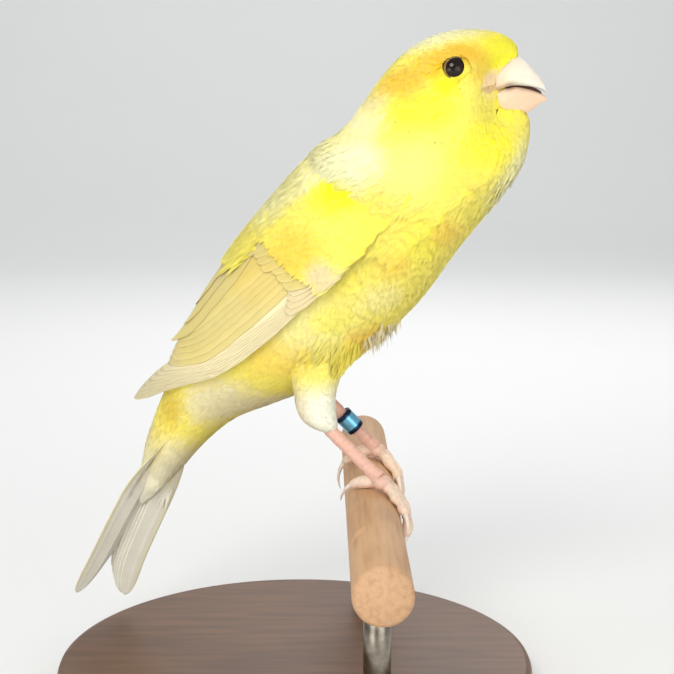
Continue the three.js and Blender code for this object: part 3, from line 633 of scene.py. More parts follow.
def tint_over(points, base, tints):
    """A base colour with each tint laid over it in turn, alike on both of the bird's sides."""
    points = one_side(points)
    shade = np.broadcast_to(base, points.shape).copy()
    for name, strength, centre, reach in tints:
        shade = mix(shade, colour(name), (strength * spot(points, centre, reach))[..., None])
    return shade


def markings(points):
    """The plumage's colour at points of the straight bird."""
    return tint_over(points, colour("lemon"), MARKINGS)


def coat_colour(here, a, b):
    """The colour of a coat that shows the markings and nothing more."""
    return markings(here)


def frost(points):
    """How pale the tips of the feathers are at points of the straight bird."""
    points = one_side(points)
    share = np.full(points.shape[:-1], LEAST_FROST)
    for strength, centre, reach in FROST:
        share = np.maximum(share, strength * spot(points, centre, reach))
    return share


# Materials


def new_material(name, roughness, **inputs):
    """A material with its shader's plain values set, ready for its colour and bump."""
    material = bpy.data.materials.new(name)
    material.use_nodes = True
    shader = material.node_tree.nodes["Principled BSDF"]
    shader.inputs["Roughness"].default_value = roughness
    for socket, value in inputs.items():
        shader.inputs[socket.replace("_", " ")].default_value = value
    return material


class Nodes:
    """Short words for building a material's nodes."""

    def __init__(self, material):
        self.tree = material.node_tree
        self.shader = self.tree.nodes["Principled BSDF"]

    def add(self, kind, **values):
        node = self.tree.nodes.new(kind)
        for name, value in values.items():
            if name in node.inputs.keys():
                node.inputs[name].default_value = value
            else:
                setattr(node, name, value)
        return node

    def link(self, output, target):
        self.tree.links.new(output, target)

    def here(self):
        return self.add("ShaderNodeTexCoord").outputs["Object"]

    def attribute(self, name):
        return self.add("ShaderNodeAttribute", attribute_name=name).outputs

    def noise(self, scale, detail, vector=None):
        node = self.add("ShaderNodeTexNoise", Scale=scale, Detail=detail)
        self.link(vector or self.here(), node.inputs["Vector"])
        return node.outputs["Fac"]

    def ramp(self, value, *stops):
        node = self.add("ShaderNodeValToRGB")
        elements = node.color_ramp.elements
        while len(elements) < len(stops):
            elements.new(0.5)
        for element, (place, shade) in zip(elements, stops):
            element.position = place
            element.color = (*shade, 1)
        self.link(value, node.inputs["Fac"])
        return node.outputs["Color"]

    def feed(self, socket, value):
        """Gives a socket a plain number, a plain colour or another node's output."""
        if isinstance(value, (int, float)):
            socket.default_value = value
        elif isinstance(value, (tuple, list, np.ndarray)):
            socket.default_value = (*value, 1)
        else:
            self.link(value, socket)

    def multiply(self, first, second):
        node = self.add("ShaderNodeMath", operation="MULTIPLY")
        for socket, value in zip(node.inputs, (first, second)):
            self.feed(socket, value)
        return node.outputs[0]

    def blend(self, share, first, second, mode="MIX"):
        node = self.add("ShaderNodeMix", data_type="RGBA", blend_type=mode)
        for number, value in ((0, share), (6, first), (7, second)):
            self.feed(node.inputs[number], value)
        return node.outputs[2]

    def bump(self, height, strength, distance):
        node = self.add("ShaderNodeBump", Strength=strength, Distance=distance)
        self.link(height, node.inputs["Height"])
        self.link(node.outputs["Normal"], self.shader.inputs["Normal"])

    def base(self, output):
        self.link(output, self.shader.inputs["Base Color"])

    def painted(self, scale, detail, dark, low=0.3, high=0.7):
        """The colour painted on the points, mottled by a noise down to a darker share."""
        mottle = self.ramp(self.noise(scale, detail), (low, dark), (high, (1, 1, 1)))
        self.base(self.blend(1.0, self.attribute("plumage")["Color"], mottle, "MULTIPLY"))

    def speckled(self, scale, detail, dark, light, low=0.3, high=0.7):
        """A colour that goes with a noise from a dark to a light one."""
        self.base(self.ramp(self.noise(scale, detail), (low, dark), (high, light)))

    def grain(self, scale, stretch):
        """A noise drawn out along the wood."""
        drawn_out = self.add("ShaderNodeMapping")
        drawn_out.inputs["Scale"].default_value = stretch
        self.link(self.here(), drawn_out.inputs["Vector"])
        return self.noise(scale, 5, drawn_out.outputs["Vector"])


def plumage_material(name, barbs=0):
    """Feathers: their painted colour, mottled softly, and fine barbs as bump on the long ones."""
    material = new_material(name, 0.8, Sheen_Weight=0.1, Sheen_Roughness=0.5, Specular_IOR_Level=0.2)
    nodes = Nodes(material)
    nodes.painted(260, 2, (0.955, 0.95, 0.93))
    if barbs:
        places = nodes.add("ShaderNodeUVMap", uv_map="vane").outputs["UV"]
        wave = nodes.add("ShaderNodeTexWave", Scale=barbs, Distortion=1.2, Detail=1.0)
        wave.bands_direction = "DIAGONAL"
        nodes.link(places, wave.inputs["Vector"])
        nodes.bump(wave.outputs["Fac"], 0.15, 0.0001)
    return material


def skin_material():
    """The skin under the coat, rough like down."""
    material = new_material("feather_skin", 0.9)
    nodes = Nodes(material)
    nodes.painted(900, 4, (0.78, 0.76, 0.7))
    nodes.bump(nodes.noise(2600, 2), 0.5, 0.0002)
    return material


# Feathers


def always(value):
    """A measure that is the same for every feather."""
    return lambda here, *place: np.full(len(here), value)


def tuft_form(barbs):
    """A small soft feather as a fan of slim barbs, each a closed three-sided blade.

    Gives for each point how far across the feather it is, -1 to 1, how far along it, how
    far off its middle sheet, and the form's triangles.
    """
    across, along, off, faces = [], [], [], []
    stations = ((0.0, 0.8), (0.58, 1.0))  # how far along a barb, and how wide there
    for barb in range(barbs):
        lean = 2 * (barb + 0.5) / barbs - 1
        reach = 1 - 0.34 * abs(lean) ** 2.2
        half = 1.75 / barbs
        start = len(across)
        for v, width in stations:
            middle = lean * (0.5 + 0.5 * v) * (1 - 0.25 * v * v)
            for edge, height in ((-1, 0.0), (1, 0.0), (0, 1.0)):
                across.append(middle + edge * half * width)
                along.append(v * reach)
                off.append(height)
        across.append(lean * 0.72)
        along.append(reach)
        off.append(0.3)
        for one, other in ((0, 1), (1, 2), (2, 0)):
            faces.append((start + one, start + other, start + 3 + other))
            faces.append((start + one, start + 3 + other, start + 3 + one))
            faces.append((start + 3 + one, start + 3 + other, start + 6))
        faces.append((start, start + 2, start + 1))
    return np.array(across), np.array(along), np.array(off), np.array(faces)


def root_rows(ground, low, high, spacing, rng, b_range=(-math.pi, math.pi)):
    """Places for roots in staggered rows over a ground, about spacing apart."""
    samples, probe = 60, 0.004
    middle = np.linspace(b_range[0], b_range[1], samples)
    a_places, b_places = [], []
    a, row = low, 0
    while a < high:
        gap = spacing(a) if callable(spacing) else spacing
        line = ground(np.full(samples, a), middle, np.zeros(samples))
        ahead = ground(np.full(samples, a + probe), middle, np.zeros(samples))
        girth = np.linalg.norm(np.diff(line, axis=0), axis=-1)
        length = np.concatenate([[0], np.cumsum(girth)])
        count = max(3, int(length[-1] / gap))
        share = (np.arange(count) + 0.5 * (row % 2) + rng.uniform(-0.22, 0.22, count)) / count
        b = np.interp((share % 1.0) * length[-1], length, middle)
        step = np.linalg.norm(ahead - line, axis=-1)
        long = max(np.percentile(step, 75), 1e-6)
        advance = probe * gap * 0.8 / long
        dense = np.clip(1.1 * np.interp(b, middle, step) / long, 0.1, 1)
        kept = rng.uniform(0, 1, count) < dense
        a_places.append((a + rng.uniform(-0.3, 0.3, count) * advance)[kept])
        b_places.append(b[kept])
        a += advance
        row += 1
    return np.concatenate(a_places), np.concatenate(b_places)


def partials(ground, a, b):
    """A ground's point, its two slopes and its outward normal at each place."""
    step, zero = 1e-3, np.zeros(len(a))
    here = ground(a, b, zero)
    slope_a = (ground(a + step, b, zero) - ground(a - step, b, zero)) / (2 * step)
    slope_b = (ground(a, b + step, zero) - ground(a, b - step, zero)) / (2 * step)
    lifted = ground(a, b, zero + 0.3) - here
    normal = unit(np.cross(slope_a, slope_b))
    normal *= np.sign((normal * lifted).sum(-1, keepdims=True))
    return here, slope_a, slope_b, normal


def on_slopes(vector, slope_a, slope_b):
    """How far a step along a vector goes in each of a ground's two places."""
    saa, sbb, sab = (slope_a**2).sum(-1), (slope_b**2).sum(-1), (slope_a * slope_b).sum(-1)
    det = np.maximum(saa * sbb - sab * sab, 1e-6)
    va, vb = (vector * slope_a).sum(-1), (vector * slope_b).sum(-1)
    return (va * sbb - vb * sab) / det, (vb * saa - va * sab) / det


def middle_line(ground, a, b, way, turn, length):
    """The middle line of each feather, which follows the ground in a few short steps.

    Gives both places at each step, how they change to the side, the normal and the side.
    """
    line = []
    for step in range(LINE_STEPS + 1):
        _, slope_a, slope_b, normal = partials(ground, a, b)
        towards = towards if step else way * slope_a
        towards = unit(towards - normal * (towards * normal).sum(-1, keepdims=True))
        beside = np.cross(normal, towards)
        if step == 0:
            towards = towards * np.cos(turn) + beside * np.sin(turn)
            beside = np.cross(normal, towards)
        line.append((a, b, *on_slopes(beside, slope_a, slope_b), normal, beside))
        step_a, step_b = on_slopes(towards, slope_a, slope_b)
        a, b = a + step_a * length / LINE_STEPS, b + step_b * length / LINE_STEPS
    return [np.stack(values) for values in zip(*line)]


def lay_feathers(name, ground, a, b, kind, patch, finish, straight=True, way=-1, keep=None):
    """Lays one small feather at each place of a ground, its tip down or up the first axis.

    kind holds the feathers' measures and looks, some as functions of their roots' places.
    """
    rng = np.random.default_rng(kind["seed"])
    here = ground(a, b, 0 * a)
    if keep is not None:
        kept = keep(here, a, b)
        a, b, here = a[kept], b[kept], here[kept]
    count, barbs = len(a), kind["barbs"]
    across, along, off, faces = tuft_form(barbs)
    each = len(across) // barbs
    length = kind["length"](here, a, b) * rng.uniform(0.86, 1.14, count)
    width = kind["width"](here, a, b) * rng.uniform(0.9, 1.12, count)
    turn = rng.normal(0, kind.get("turn", 0.09), count)[:, None]
    stray = np.repeat(rng.normal(0, 1, (count, barbs)), each, 1)
    far = along * (1 + 0.07 * np.repeat(rng.normal(0, 1, (count, barbs)), each, 1))
    wide = across * width[:, None] / 2 + 0.02 * stray * along * length[:, None]
    place = np.clip(far, 0, 0.999) * LINE_STEPS
    first = place.astype(int)
    share = place - first
    number = np.arange(count)[:, None]

    def on_line(values):
        part = share[..., None] if values.ndim == 3 else share
        return mix(values[first, number], values[first + 1, number], part)

    line = middle_line(ground, a, b, way, turn, length)
    at_a, at_b, side_a, side_b, normals, beside = map(on_line, line)
    sink, top, tip = kind["lift"]
    lift = sink + (top - sink) * smooth(0.0, 0.6, along) + (tip - top) * smooth(0.5, 1.0, along)
    lift = lift - kind.get("cup", 0.12) * across**2
    lift = lift + kind.get("thick", 0.06) * off
    ruffle = kind.get("ruffle", always(0.03))(here)
    rise = (ruffle * np.abs(rng.normal(0, 1, count)))[:, None] + ruffle[:, None] * 0.5 * stray
    lift = lift + rise * along**1.5
    if "raise" in kind:
        lift = lift + kind["raise"](a, b)[:, None] * smooth(0.0, 0.8, along)
    points = ground((at_a + side_a * wide).ravel(), (at_b + side_b * wide).ravel(), lift.ravel())
    normals = normals + beside * (0.10 * across + 0.05 * stray * along)[..., None]
    normals = normals.reshape(-1, 3)
    if straight:
        normals = turn_about_z(normals, HEAD_TURN * head_share(points))
        points = turn_head(points)
    points = to_row(points)
    # Every barb is the same form, so if most lie inside out, all their faces turn round
    rows = (faces + (np.arange(count) * len(across))[:, None, None]).reshape(-1, 3)
    form = points.reshape(count, barbs, each, 3)
    form = form - form.mean(2, keepdims=True)
    own = faces[: len(faces) // barbs]
    first, second, third = (form[:, :, own[:, corner]] for corner in range(3))
    if np.median((first * np.cross(second, third)).sum((-1, -2))) < 0:
        rows = rows[:, ::-1]
    piece = mesh_piece(name, points, rows, finish)
    tint = 1 + rng.normal(0, 0.016, (count, 1, 1)) + 0.016 * stray[..., None]
    pale = kind.get("pale", frost)(here)
    edge = smooth(0.5, 1.0, along)[:, None] * pale[:, None, None]
    shade = mix(kind["colour"](here, a, b)[:, None] * tint, colour("cream"), edge)
    # Painted shade: each small feather is darker towards its root, where the feathers lying over it
    # shade it
    shade = np.clip(shade * (0.93 + 0.07 * smooth(0.0, 0.5, along))[:, None], 0, 1)
    paint(piece, "plumage", shade.reshape(-1, 3))
    spread = np.stack([across * 0.0015, (along - 0.5) * 0.003], -1)
    unwrap(piece, "OFBake", (patch(a, b)[:, None] + spread).reshape(-1, 2))
    shade_along(piece, turn_about_z(normals, BIRD_TURN))
    return piece


def vane_form(columns, rows):
    """A long feather as a closed plate over a grid, with its places and faces."""
    u, v = np.meshgrid(columns, rows, indexing="ij")
    size = u.size
    index = np.arange(size).reshape(u.shape)
    quads = np.stack([index[:-1, :-1], index[1:, :-1], index[1:, 1:], index[:-1, 1:]], -1).reshape(-1, 4)
    loop = np.array([*index[:, 0], *index[-1, 1:], *index[-2::-1, -1], *index[0, -2:0:-1]])
    following = np.roll(loop, -1)
    walls = np.stack([following, loop, loop + size, following + size], -1)
    faces = np.concatenate([quads, quads[:, ::-1] + size, walls])
    return np.tile(u.ravel(), 2), np.tile(v.ravel(), 2), np.repeat([1.0, 0.0], size), faces


def vane_piece(name, vanes, finish):
    """One piece of long feathers: for each its points, faces, places, colours and unwrap."""
    points, faces = gather([vane[:2] for vane in vanes])
    piece = mesh_piece(name, to_row(points), faces, finish)
    places, shades, patches = (np.concatenate(values) for values in list(zip(*vanes))[2:])
    paint(piece, "plumage", shades)
    unwrap(piece, "OFBake", patches)
    unwrap(piece, "vane", places)
    return piece


def vane_share(v, point):
    """How wide a long feather is at v along it, as a share of its full width."""
    body = 0.5 + 0.5 * smooth(0, 0.4, v)
    end = np.sqrt(np.clip(1 - (np.maximum(0, v - (1 - 0.34 * point)) / (0.34 * point)) ** 2, 0, 1))
    taper = 1 - (1 - point) * 0.62 * v**2.5
    return np.maximum(0.03, body * end * taper)


# Operators


def add_light(name, place, target, size, watts, shade):
    light = bpy.data.lights.new(name, "AREA")
    light.shape = "DISK"
    light.size = size
    light.energy = watts
    light.color = shade
    lamp = new_object(name, light)
    lamp.location = place
    lamp.rotation_euler = (Vector(target) - Vector(place)).to_track_quat("-Z", "Y").to_euler()


def floor_form():
    """A floor that bends up into a wall behind, in millimetres."""
    near, bend_at, bend, top, wide = -1500, 700, 500, 2200, 5000
    turn = [math.radians(step * 7.5) for step in range(13)]
    sweep = [(bend_at + bend * math.sin(a), bend - bend * math.cos(a)) for a in turn]
    sweep = [(near, 0), *sweep, (bend_at + bend, top)]
    bm = bmesh.new()
    rim = [bm.verts.new((-wide / 2, y, z)) for y, z in sweep]
    edges = [bm.edges.new(pair) for pair in zip(rim, rim[1:])]
    drawn = bmesh.ops.extrude_edge_only(bm, edges=edges)["geom"]
    drawn = [item for item in drawn if isinstance(item, bmesh.types.BMVert)]
    bmesh.ops.translate(bm, vec=(wide, 0, 0), verts=drawn)
    bmesh.ops.recalc_face_normals(bm, faces=bm.faces)
    if bm.faces[0].normal.z < 0:
        bmesh.ops.reverse_faces(bm, faces=bm.faces)
    return bm


class CANARY_OT_stage(bpy.types.Operator):
    """Camera, floor and soft studio light"""

    bl_idname = "canary.stage"
    bl_label = "Stage"

    def execute(self, context):
        scene = context.scene
        data = bpy.data.cameras.new("camera")
        data.lens = CAMERA_LENS
        data.sensor_width = SENSOR_WIDTH
        data.clip_start = 0.01
        camera = new_object("camera", data)
        camera.location = CAMERA_PLACE
        camera.rotation_euler = Euler([math.radians(angle) for angle in CAMERA_TURN])
        scene.camera = camera
        scene.view_settings.view_transform = "Standard"
        world = bpy.data.worlds.new("studio")
        world.use_nodes = True
        sky = world.node_tree.nodes["Background"].inputs
        sky["Color"].default_value = SKY
        sky["Strength"].default_value = SKY_STRENGTH
        scene.world = world
        for light in LIGHTS:
            add_light(*light)
        floor_look = new_material("floor", 0.8)
        Nodes(floor_look).speckled(6, 2, colour("floor") * 0.985, colour("floor"))
        floor = from_bmesh("floor", floor_form(), floor_look)
        return {"FINISHED"}


def skin_parts():
    """Closed forms of the body, the thighs and the wings' cores under the coat."""
    depth = bpy.context.scene.canary_coat.depth / MM

    def body(t, angle, rim):
        lift = -depth * mix(1.0, 0.38, smooth(0.60, 0.72, t))
        points = body_ground(t, angle, lift)
        row = through(BODY, t)
        middle = np.stack([(row[:, 0] + row[:, 2]) / 2, 0 * t, (row[:, 1] + row[:, 3]) / 2], -1)
        return turn_head(mix(middle, points, rim[:, None]))

    parts = [grid_tube(64, 110, body)]
    for leg in LEGS.values():
        ground = thigh_ground(leg)
        parts.append(grid_tube(32, 30, lambda t, angle, rim: thigh_point(ground, t, angle, rim)))
    for side in (-1, 1):
        parts.append(wing_core(side))
    return [(points, outward(faces, points)) for points, faces in parts]


def thigh_point(ground, t, angle, rim):
    """A point of the thigh's flesh, sunk below the outline of its down."""
    wall = ground(t, angle, np.full(len(t), -0.7))
    opposite = ground(t, angle + math.pi, np.full(len(t), -0.7))
    return mix((wall + opposite) / 2, wall, rim[:, None])


def wing_core(side):
    """The flesh of a folded wing as a closed plate on its bed."""
    u, v, face, quads = vane_form(np.linspace(0, 1, 16), np.linspace(0, 1, 28))
    reach = mix(0.97, 0.36, v)
    bottom, top = mix(2.6, 1.6, v), mix(27.0, 9.0, v)
    rounded = 1 - 0.2 * (2 * v - 1) ** 6
    across = (bottom + top) / 2 + (2 * u - 1) * rounded * (top - bottom) / 2
    lift = np.where(face > 0, 0.25 - 0.5 * v - 0.9 * np.abs(2 * u - 1) ** 4, -2.6)
    points = bed_ground(side)(reach, across, lift)
    triangles = np.concatenate([quads[:, [0, 1, 2]], quads[:, [0, 2, 3]]])
    return points, triangles


class CANARY_OT_skin(bpy.types.Operator):
    """One skin under the feathers of the head, body, thighs and wings"""

    bl_idname = "canary.skin"
    bl_label = "Skin"

    def execute(self, context):
        points, faces = gather(skin_parts())
        rough = mesh_piece("skin_rough", to_row(points), faces, skin_material())
        remesh = rough.modifiers.new("weld", "REMESH")
        remesh.mode = "VOXEL"
        remesh.voxel_size = 0.0005
        ease = rough.modifiers.new("ease", "SMOOTH")
        ease.factor = 0.5
        ease.iterations = 8
        evaluated = rough.evaluated_get(context.evaluated_depsgraph_get())
        mesh = bpy.data.meshes.new_from_object(evaluated)
        mesh.name = "skin"
        skin = new_object("skin", mesh)
        bpy.data.objects.remove(rough)
        mesh.polygons.foreach_set("use_smooth", np.full(len(mesh.polygons), True))
        place = np.zeros(len(mesh.vertices) * 3, np.float32)
        mesh.vertices.foreach_get("co", place)
        straight = straighten(place.reshape(-1, 3))
        paint(skin, "plumage", markings(straight) * 0.9)
        finish_piece(skin, "plumage", "head", "neck", "torso", "thigh_left", "thigh_right")
        return {"FINISHED"}


def body_patch(a, b):
    """A root's place on the unwrap of the body: round it, and along it."""
    return np.stack([0.02 + 0.96 * (b + math.pi) / TAU, 0.02 + 0.6 * a], -1)


def eye_room(here):
    """How far each point lies from the rim of the nearer eye, along the face."""
    side = one_side(here)
    away = side - np.array(EYE)
    out = unit(np.array([EYE_OUT]))
    flat = away - (away * out).sum(-1, keepdims=True) * out
    far, middle = 9.0, 3
    return np.where(side[..., 1] < middle, far, np.linalg.norm(flat, axis=-1) - EYE_OPENING)


def bill_reach(here):
    """How far the bill reaches to a side at each point's place, -1 where there is none."""
    x, z = here[..., 0], here[..., 2]
    reach = np.full(x.shape, -1.0)
    for sections, ridge in ((UPPER_BILL, 1), (LOWER_BILL, -1)):
        rows = np.array(sections)
        columns = (np.interp(x, rows[:, 0], rows[:, column]) for column in (1, 2, 3))
        top, low, half = columns
        cut = low if ridge > 0 else top
        over = np.clip(ridge * (z - cut) / (top - low), 0, 1) ** (1 / 0.85)
        side = half * np.sqrt(1 - over**2) ** 0.8
        beside = (x > rows[0, 0]) & (ridge * (z - cut) > -0.6) & (ridge * (z - cut) < top - low)
        reach = np.where(beside, np.maximum(reach, side), reach)
    return reach


def off_bill(here):
    """Whether a point is clear of the bill."""
    return np.abs(here[..., 1]) > bill_reach(here) + 0.05


def lay_coat(name, slot, ground, a, b, kind, patch, finish, **more):
    """Lays the feathers of one region as pieces of a size that can be kept whole."""
    most = MOST_TRIANGLES // (BARB_TRIANGLES * kind["barbs"])
    parts = max(1, math.ceil(len(a) / most))
    for number, chosen in enumerate(np.array_split(np.arange(len(a)), parts)):
        kind["seed"] += 1
        label = f"{name}_{number + 1}" if parts > 1 else name
        piece = lay_feathers(label, ground, a[chosen], b[chosen], kind, patch, finish, **more)
        finish_piece(piece, slot)


def ragged(here):
    """How far feathers stray off the outline: most on the throat and under the belly."""
    throat = spot(here * (1, 0, 1), (28.0, 0.0, 55.0), (6.0, 1.0, 12.0))
    belly = spot(here * (1, 0, 1), (2.0, 0.0, 26.0), (9.0, 1.0, 5.0))
    return 0.025 + 0.22 * throat + 0.2 * belly


class CANARY_OT_head_coat(bpy.types.Operator):
    """Fine feathers of the face, crown, nape and throat"""

    bl_idname = "canary.head_coat"
    bl_label = "Head coat"

    def execute(self, context):
        coat = context.scene.canary_coat
        fine = coat.face_spacing / MM
        finish = plumage_material("head_plumage")
        rng = np.random.default_rng(coat.seed)

        def grow(small, large):
            return lambda here, a, b: mix(large, small, smooth(0.64, 0.86, a))

        def spacing(a):
            return float(mix(0.95, fine, smooth(0.62, 0.82, np.array(a))))

        def tips(here, a, b, length):
            ahead = partials(body_ground, a, b)[1]
            return here - unit(ahead) * length

        def short_of_eye(here, a, b, whole, least):
            """The whole length, or less where the feather would reach over the eye."""
            tip = tips(here, a, b, whole[:, None])
            half = tips(here, a, b, whole[:, None] / 2)
            clear = (eye_room(tip) > 0) & (eye_room(half) > 0)
            return np.where(clear, whole, np.clip(0.95 * eye_room(here), least, whole))

        def reach(here, a, b):
            return short_of_eye(here, a, b, grow(1.6, 5.0)(here, a, b), 0.5)

        def lid_reach(here, a, b):
            return short_of_eye(here, a, b, np.full(len(a), 0.9), 0.3)

        def breadth(here, a, b):
            return np.minimum(grow(0.95, 2.5)(here, a, b), 0.45 + 0.5 * reach(here, a, b))

        def clear(here, a, b):
            tip = tips(here, a, b, reach(here, a, b)[:, None])
            return (eye_room(here) > 0.25) & (eye_room(tip) > -0.02) & off_bill(here)

        def lids(here, a, b):
            tip = tips(here, a, b, lid_reach(here, a, b)[:, None])
            room = eye_room(here)
            return (room > 0.05) & (room < 2.6) & (eye_room(tip) > -0.05)

        kind = {
            "seed": coat.seed,
            "barbs": 5,
            "length": reach,
            "width": breadth,
            "lift": (-0.6, -0.12, 0.0),
            "colour": coat_colour,
            "turn": 0.06,
            "thick": 0.03,
            "ruffle": lambda here: 0.7 * ragged(here),
            "cup": 0.06,
        }
        a, b = root_rows(body_ground, 0.60, 0.985, spacing, rng)
        kept = clear(partials(body_ground, a, b)[0], a, b)
        a, b = a[kept], b[kept]
        lay_coat("head_feathers", "plumage", body_ground, a, b, kind, body_patch, finish)
        a, b = root_rows(body_ground, 0.76, 0.90, 0.27, rng)
        kept = lids(partials(body_ground, a, b)[0], a, b)
        a, b = a[kept], b[kept]
        small = dict(kind, barbs=3, length=lid_reach, lift=(-0.4, -0.05, 0.03), thick=0.02)
        small["width"] = always(0.5)
        lay_coat("lid_feathers", "plumage", body_ground, a, b, small, body_patch, finish)
        return {"FINISHED"}


def bill_ground(t, angle, lift):
    """The upper bill from its base, 0, to its tip, 1, with its ridge at the angle 0."""
    row = through(UPPER_BILL, t)
    rise = (row[..., 1] - row[..., 2] + lift) * power(np.cos(angle), 0.85)
    side = (row[..., 3] + lift) * power(np.sin(angle), 0.8)
    return np.stack([row[..., 0], side, row[..., 2] + rise], -1)


class CANARY_OT_bristles(bpy.types.Operator):
    """Short feathers that run from the forehead over the base of the bill"""

    bl_idname = "canary.bristles"
    bl_label = "Bill feathers"

    def execute(self, context):
        coat = context.scene.canary_coat
        rng = np.random.default_rng(coat.seed + 15)
        kind = {
            "seed": coat.seed + 16,
            "barbs": 4,
            "length": always(1.9),
            "width": always(0.8),
            "lift": (-0.35, 0.14, 0.2),
            "colour": coat_colour,
            "thick": 0.03,
            "turn": 0.12,
            "ruffle": always(0.02),
        }
        a, b = root_rows(bill_ground, 0.02, 0.31, 0.36, rng, (-1.5, 1.5))
        turns = np.radians((0, 15, 30, 45, 60, 75, 90))
        limit = np.interp(np.abs(b), turns, (0.43, 0.43, 0.39, 0.32, 0.25, 0.19, 0.15))
        kept = a + 0.13 + rng.uniform(-0.012, 0.012, len(a)) < limit

        def patch(a, b):
            return np.stack([0.5 + 0.1 * b, 0.8 + 0.3 * a], -1)

        a, b = a[kept], b[kept]
        finish = plumage_material("bristle_plumage")
        lay_coat("bill_feathers", "plumage", bill_ground, a, b, kind, patch, finish, way=1)
        return {"FINISHED"}


class CANARY_OT_body_coat(bpy.types.Operator):
    """Feathers of the breast, back, flanks, belly and vent"""

    bl_idname = "canary.body_coat"
    bl_label = "Body coat"

    def execute(self, context):
        coat = context.scene.canary_coat
        finish = plumage_material("body_plumage")
        rng = np.random.default_rng(coat.seed + 20)
        spacing = coat.body_spacing / MM

        def drape(a, b):
            """Feathers whose tips reach a thigh rise over its top."""
            here, slope = partials(coat_ground, a, b)[:2]
            tip = coat_ground(a - 5.0 / np.linalg.norm(slope, axis=-1), b, 0 * a)
            far = thigh_stand(tip)
            return np.where((thigh_stand(here) < 1.2) & (far > 0), far + 0.2, 0.0)

        def shade(here, a, b):
            paler = 0.85 * smooth(0.17, 0.03, a)[:, None]
            return mix(markings(here), colour("tail"), paler)

        kind = {
            "seed": coat.seed + 30,
            "barbs": 6,
            "length": lambda here, a, b: mix(9.5, 5.8, smooth(0.06, 0.4, a)),
            "width": lambda here, a, b: mix(3.0, 2.7, smooth(0.2, 0.5, a)),
            "lift": (-1.0, -0.25, 0.0),
            "colour": shade,
            "thick": 0.04,
            "ruffle": lambda here: 0.7 * ragged(here),
            "raise": drape,
        }
        a, b = root_rows(body_ground, 0.035, 0.615, spacing, rng)
        lay_coat("body_feathers", "plumage", coat_ground, a, b, kind, body_patch, finish)
        belly = (math.pi - 0.3, math.pi + 0.45)
        a, b = root_rows(body_ground, 0.368, 0.39, 1.2, rng, belly)
        wisp = dict(kind, barbs=2, lift=(-0.8, 0.0, 0.9), ruffle=always(0.6), turn=0.4)
        wisp["length"] = lambda here, a, b: rng.uniform(2.6, 5.2, len(a))
        wisp["width"] = always(0.6)
        wisp["colour"] = lambda here, a, b: mix(markings(here), colour("down"), 0.55)
        lay_coat("belly_wisps", "plumage", body_ground, a, b, wisp, body_patch, finish)
        return {"FINISHED"}


class CANARY_OT_thighs(bpy.types.Operator):
    """White downy feathers of both thighs"""

    bl_idname = "canary.thighs"
    bl_label = "Thighs"

    def execute(self, context):
        coat = context.scene.canary_coat
        finish = plumage_material("thigh_plumage")
        for number, (name, leg) in enumerate(LEGS.items()):
            rng = np.random.default_rng(coat.seed + 50 + number)
            ground = thigh_ground(leg)
            ankle = leg["ankle"]

            def upwards(t, angle, lift):
                return ground(1 - t, angle, lift)

            def shade(here, a, b):
                high = smooth(ankle[2] + 8.0, ankle[2] + 14.0, here[..., 2])
                behind = smooth(1.5, -4.5, here[..., 0] - ankle[0] + 3.0)
                pale = mix(colour("down"), colour("thigh_shade"), (0.8 * behind)[..., None])
                return mix(pale, markings(here), high[..., None])

            def patch(a, b):
                return np.stack([0.05 + 0.4 * number + 0.3 * (b + math.pi) / TAU, 0.65 + 0.1 * a], -1)

            kind = {
                "seed": coat.seed + 60 + number,
                "barbs": 5,
                "length": always(3.6),
                "width": always(1.7),
                "lift": (-0.7, -0.12, 0.0),
                "colour": shade,
                "pale": always(0.3),
                "thick": 0.04,
                "cup": 0.06,
            }
            a, b = root_rows(upwards, 0.03, 0.95, 0.7, rng)
            label = f"thigh_feathers_{name}"
            lay_coat(label, "thigh", upwards, a, b, kind, patch, finish, straight=False)
        return {"FINISHED"}


# Rows of wing feathers, from the lowest upwards. Along the wing 0 is its tip and 1 its
# shoulder; across it millimetres count up from the lower edge.
WING_ROWS = [
    {
        "name": "primaries",
        "tinted": False,
        "count": 9,
        "root": lambda k: (0.8, 0.3 + 0.22 * k),
        "tip": lambda k: ((0.03, 0.0, 0.0, 0.015, 0.04, 0.07, 0.1, 0.13, 0.155)[k], 0.1 + 0.42 * k),
        "width": 4.8,
        "lift": (0.0, 0.16),
        "step": 0.035,
        "point": 0.3,
        "shades": ("quill", "wrist"),
    },
    {
        "name": "secondaries",
        "tinted": True,
        "count": 6,
        "root": lambda k: (0.8, 3.8 + 1.05 * k),
        "tip": lambda k: (0.19 + 0.015 * k, 3.2 + 1.35 * k),
        "width": 6.6,
        "lift": (0.34, 0.46),
        "step": 0.025,
        "point": 0.75,
        "shades": ("olive", "quill"),
    },
    {
        "name": "tertials",
        "tinted": True,
        "count": 3,
        "root": lambda k: (0.7, 14.4 + 3.4 * k),
        "tip": lambda k: (0.22 + 0.06 * k, 9.4 + 3.0 * k),
        "width": 8.8,
        "lift": (0.55, 0.78),
        "step": 0.06,
        "point": 0.8,
        "shades": ("olive", "grey"),
    },
    {
        "name": "primary_coverts",
        "tinted": False,
        "count": 5,
        "root": lambda k: (0.84, 0.3 + 0.55 * k),
        "tip": lambda k: (0.555 + 0.014 * k, 0.0 + 0.62 * k),
        "width": 3.4,
        "lift": (0.4, 0.56),
        "step": 0.03,
        "point": 0.6,
        "shades": ("wrist", "quill"),
    },
    {
        "name": "greater_coverts",
        "tinted": True,
        "count": 9,
        "root": lambda k: (0.83 + 0.006 * k, 1.9 + 1.75 * k),
        "tip": lambda k: (0.6 - 0.003 * k + 0.006 * (k % 3), 2.5 + 1.75 * k),
        "width": 4.4,
        "lift": (0.66, 0.78),
        "step": 0.01,
        "point": 0.72,
        "shades": ("olive", "quill"),
    },
]

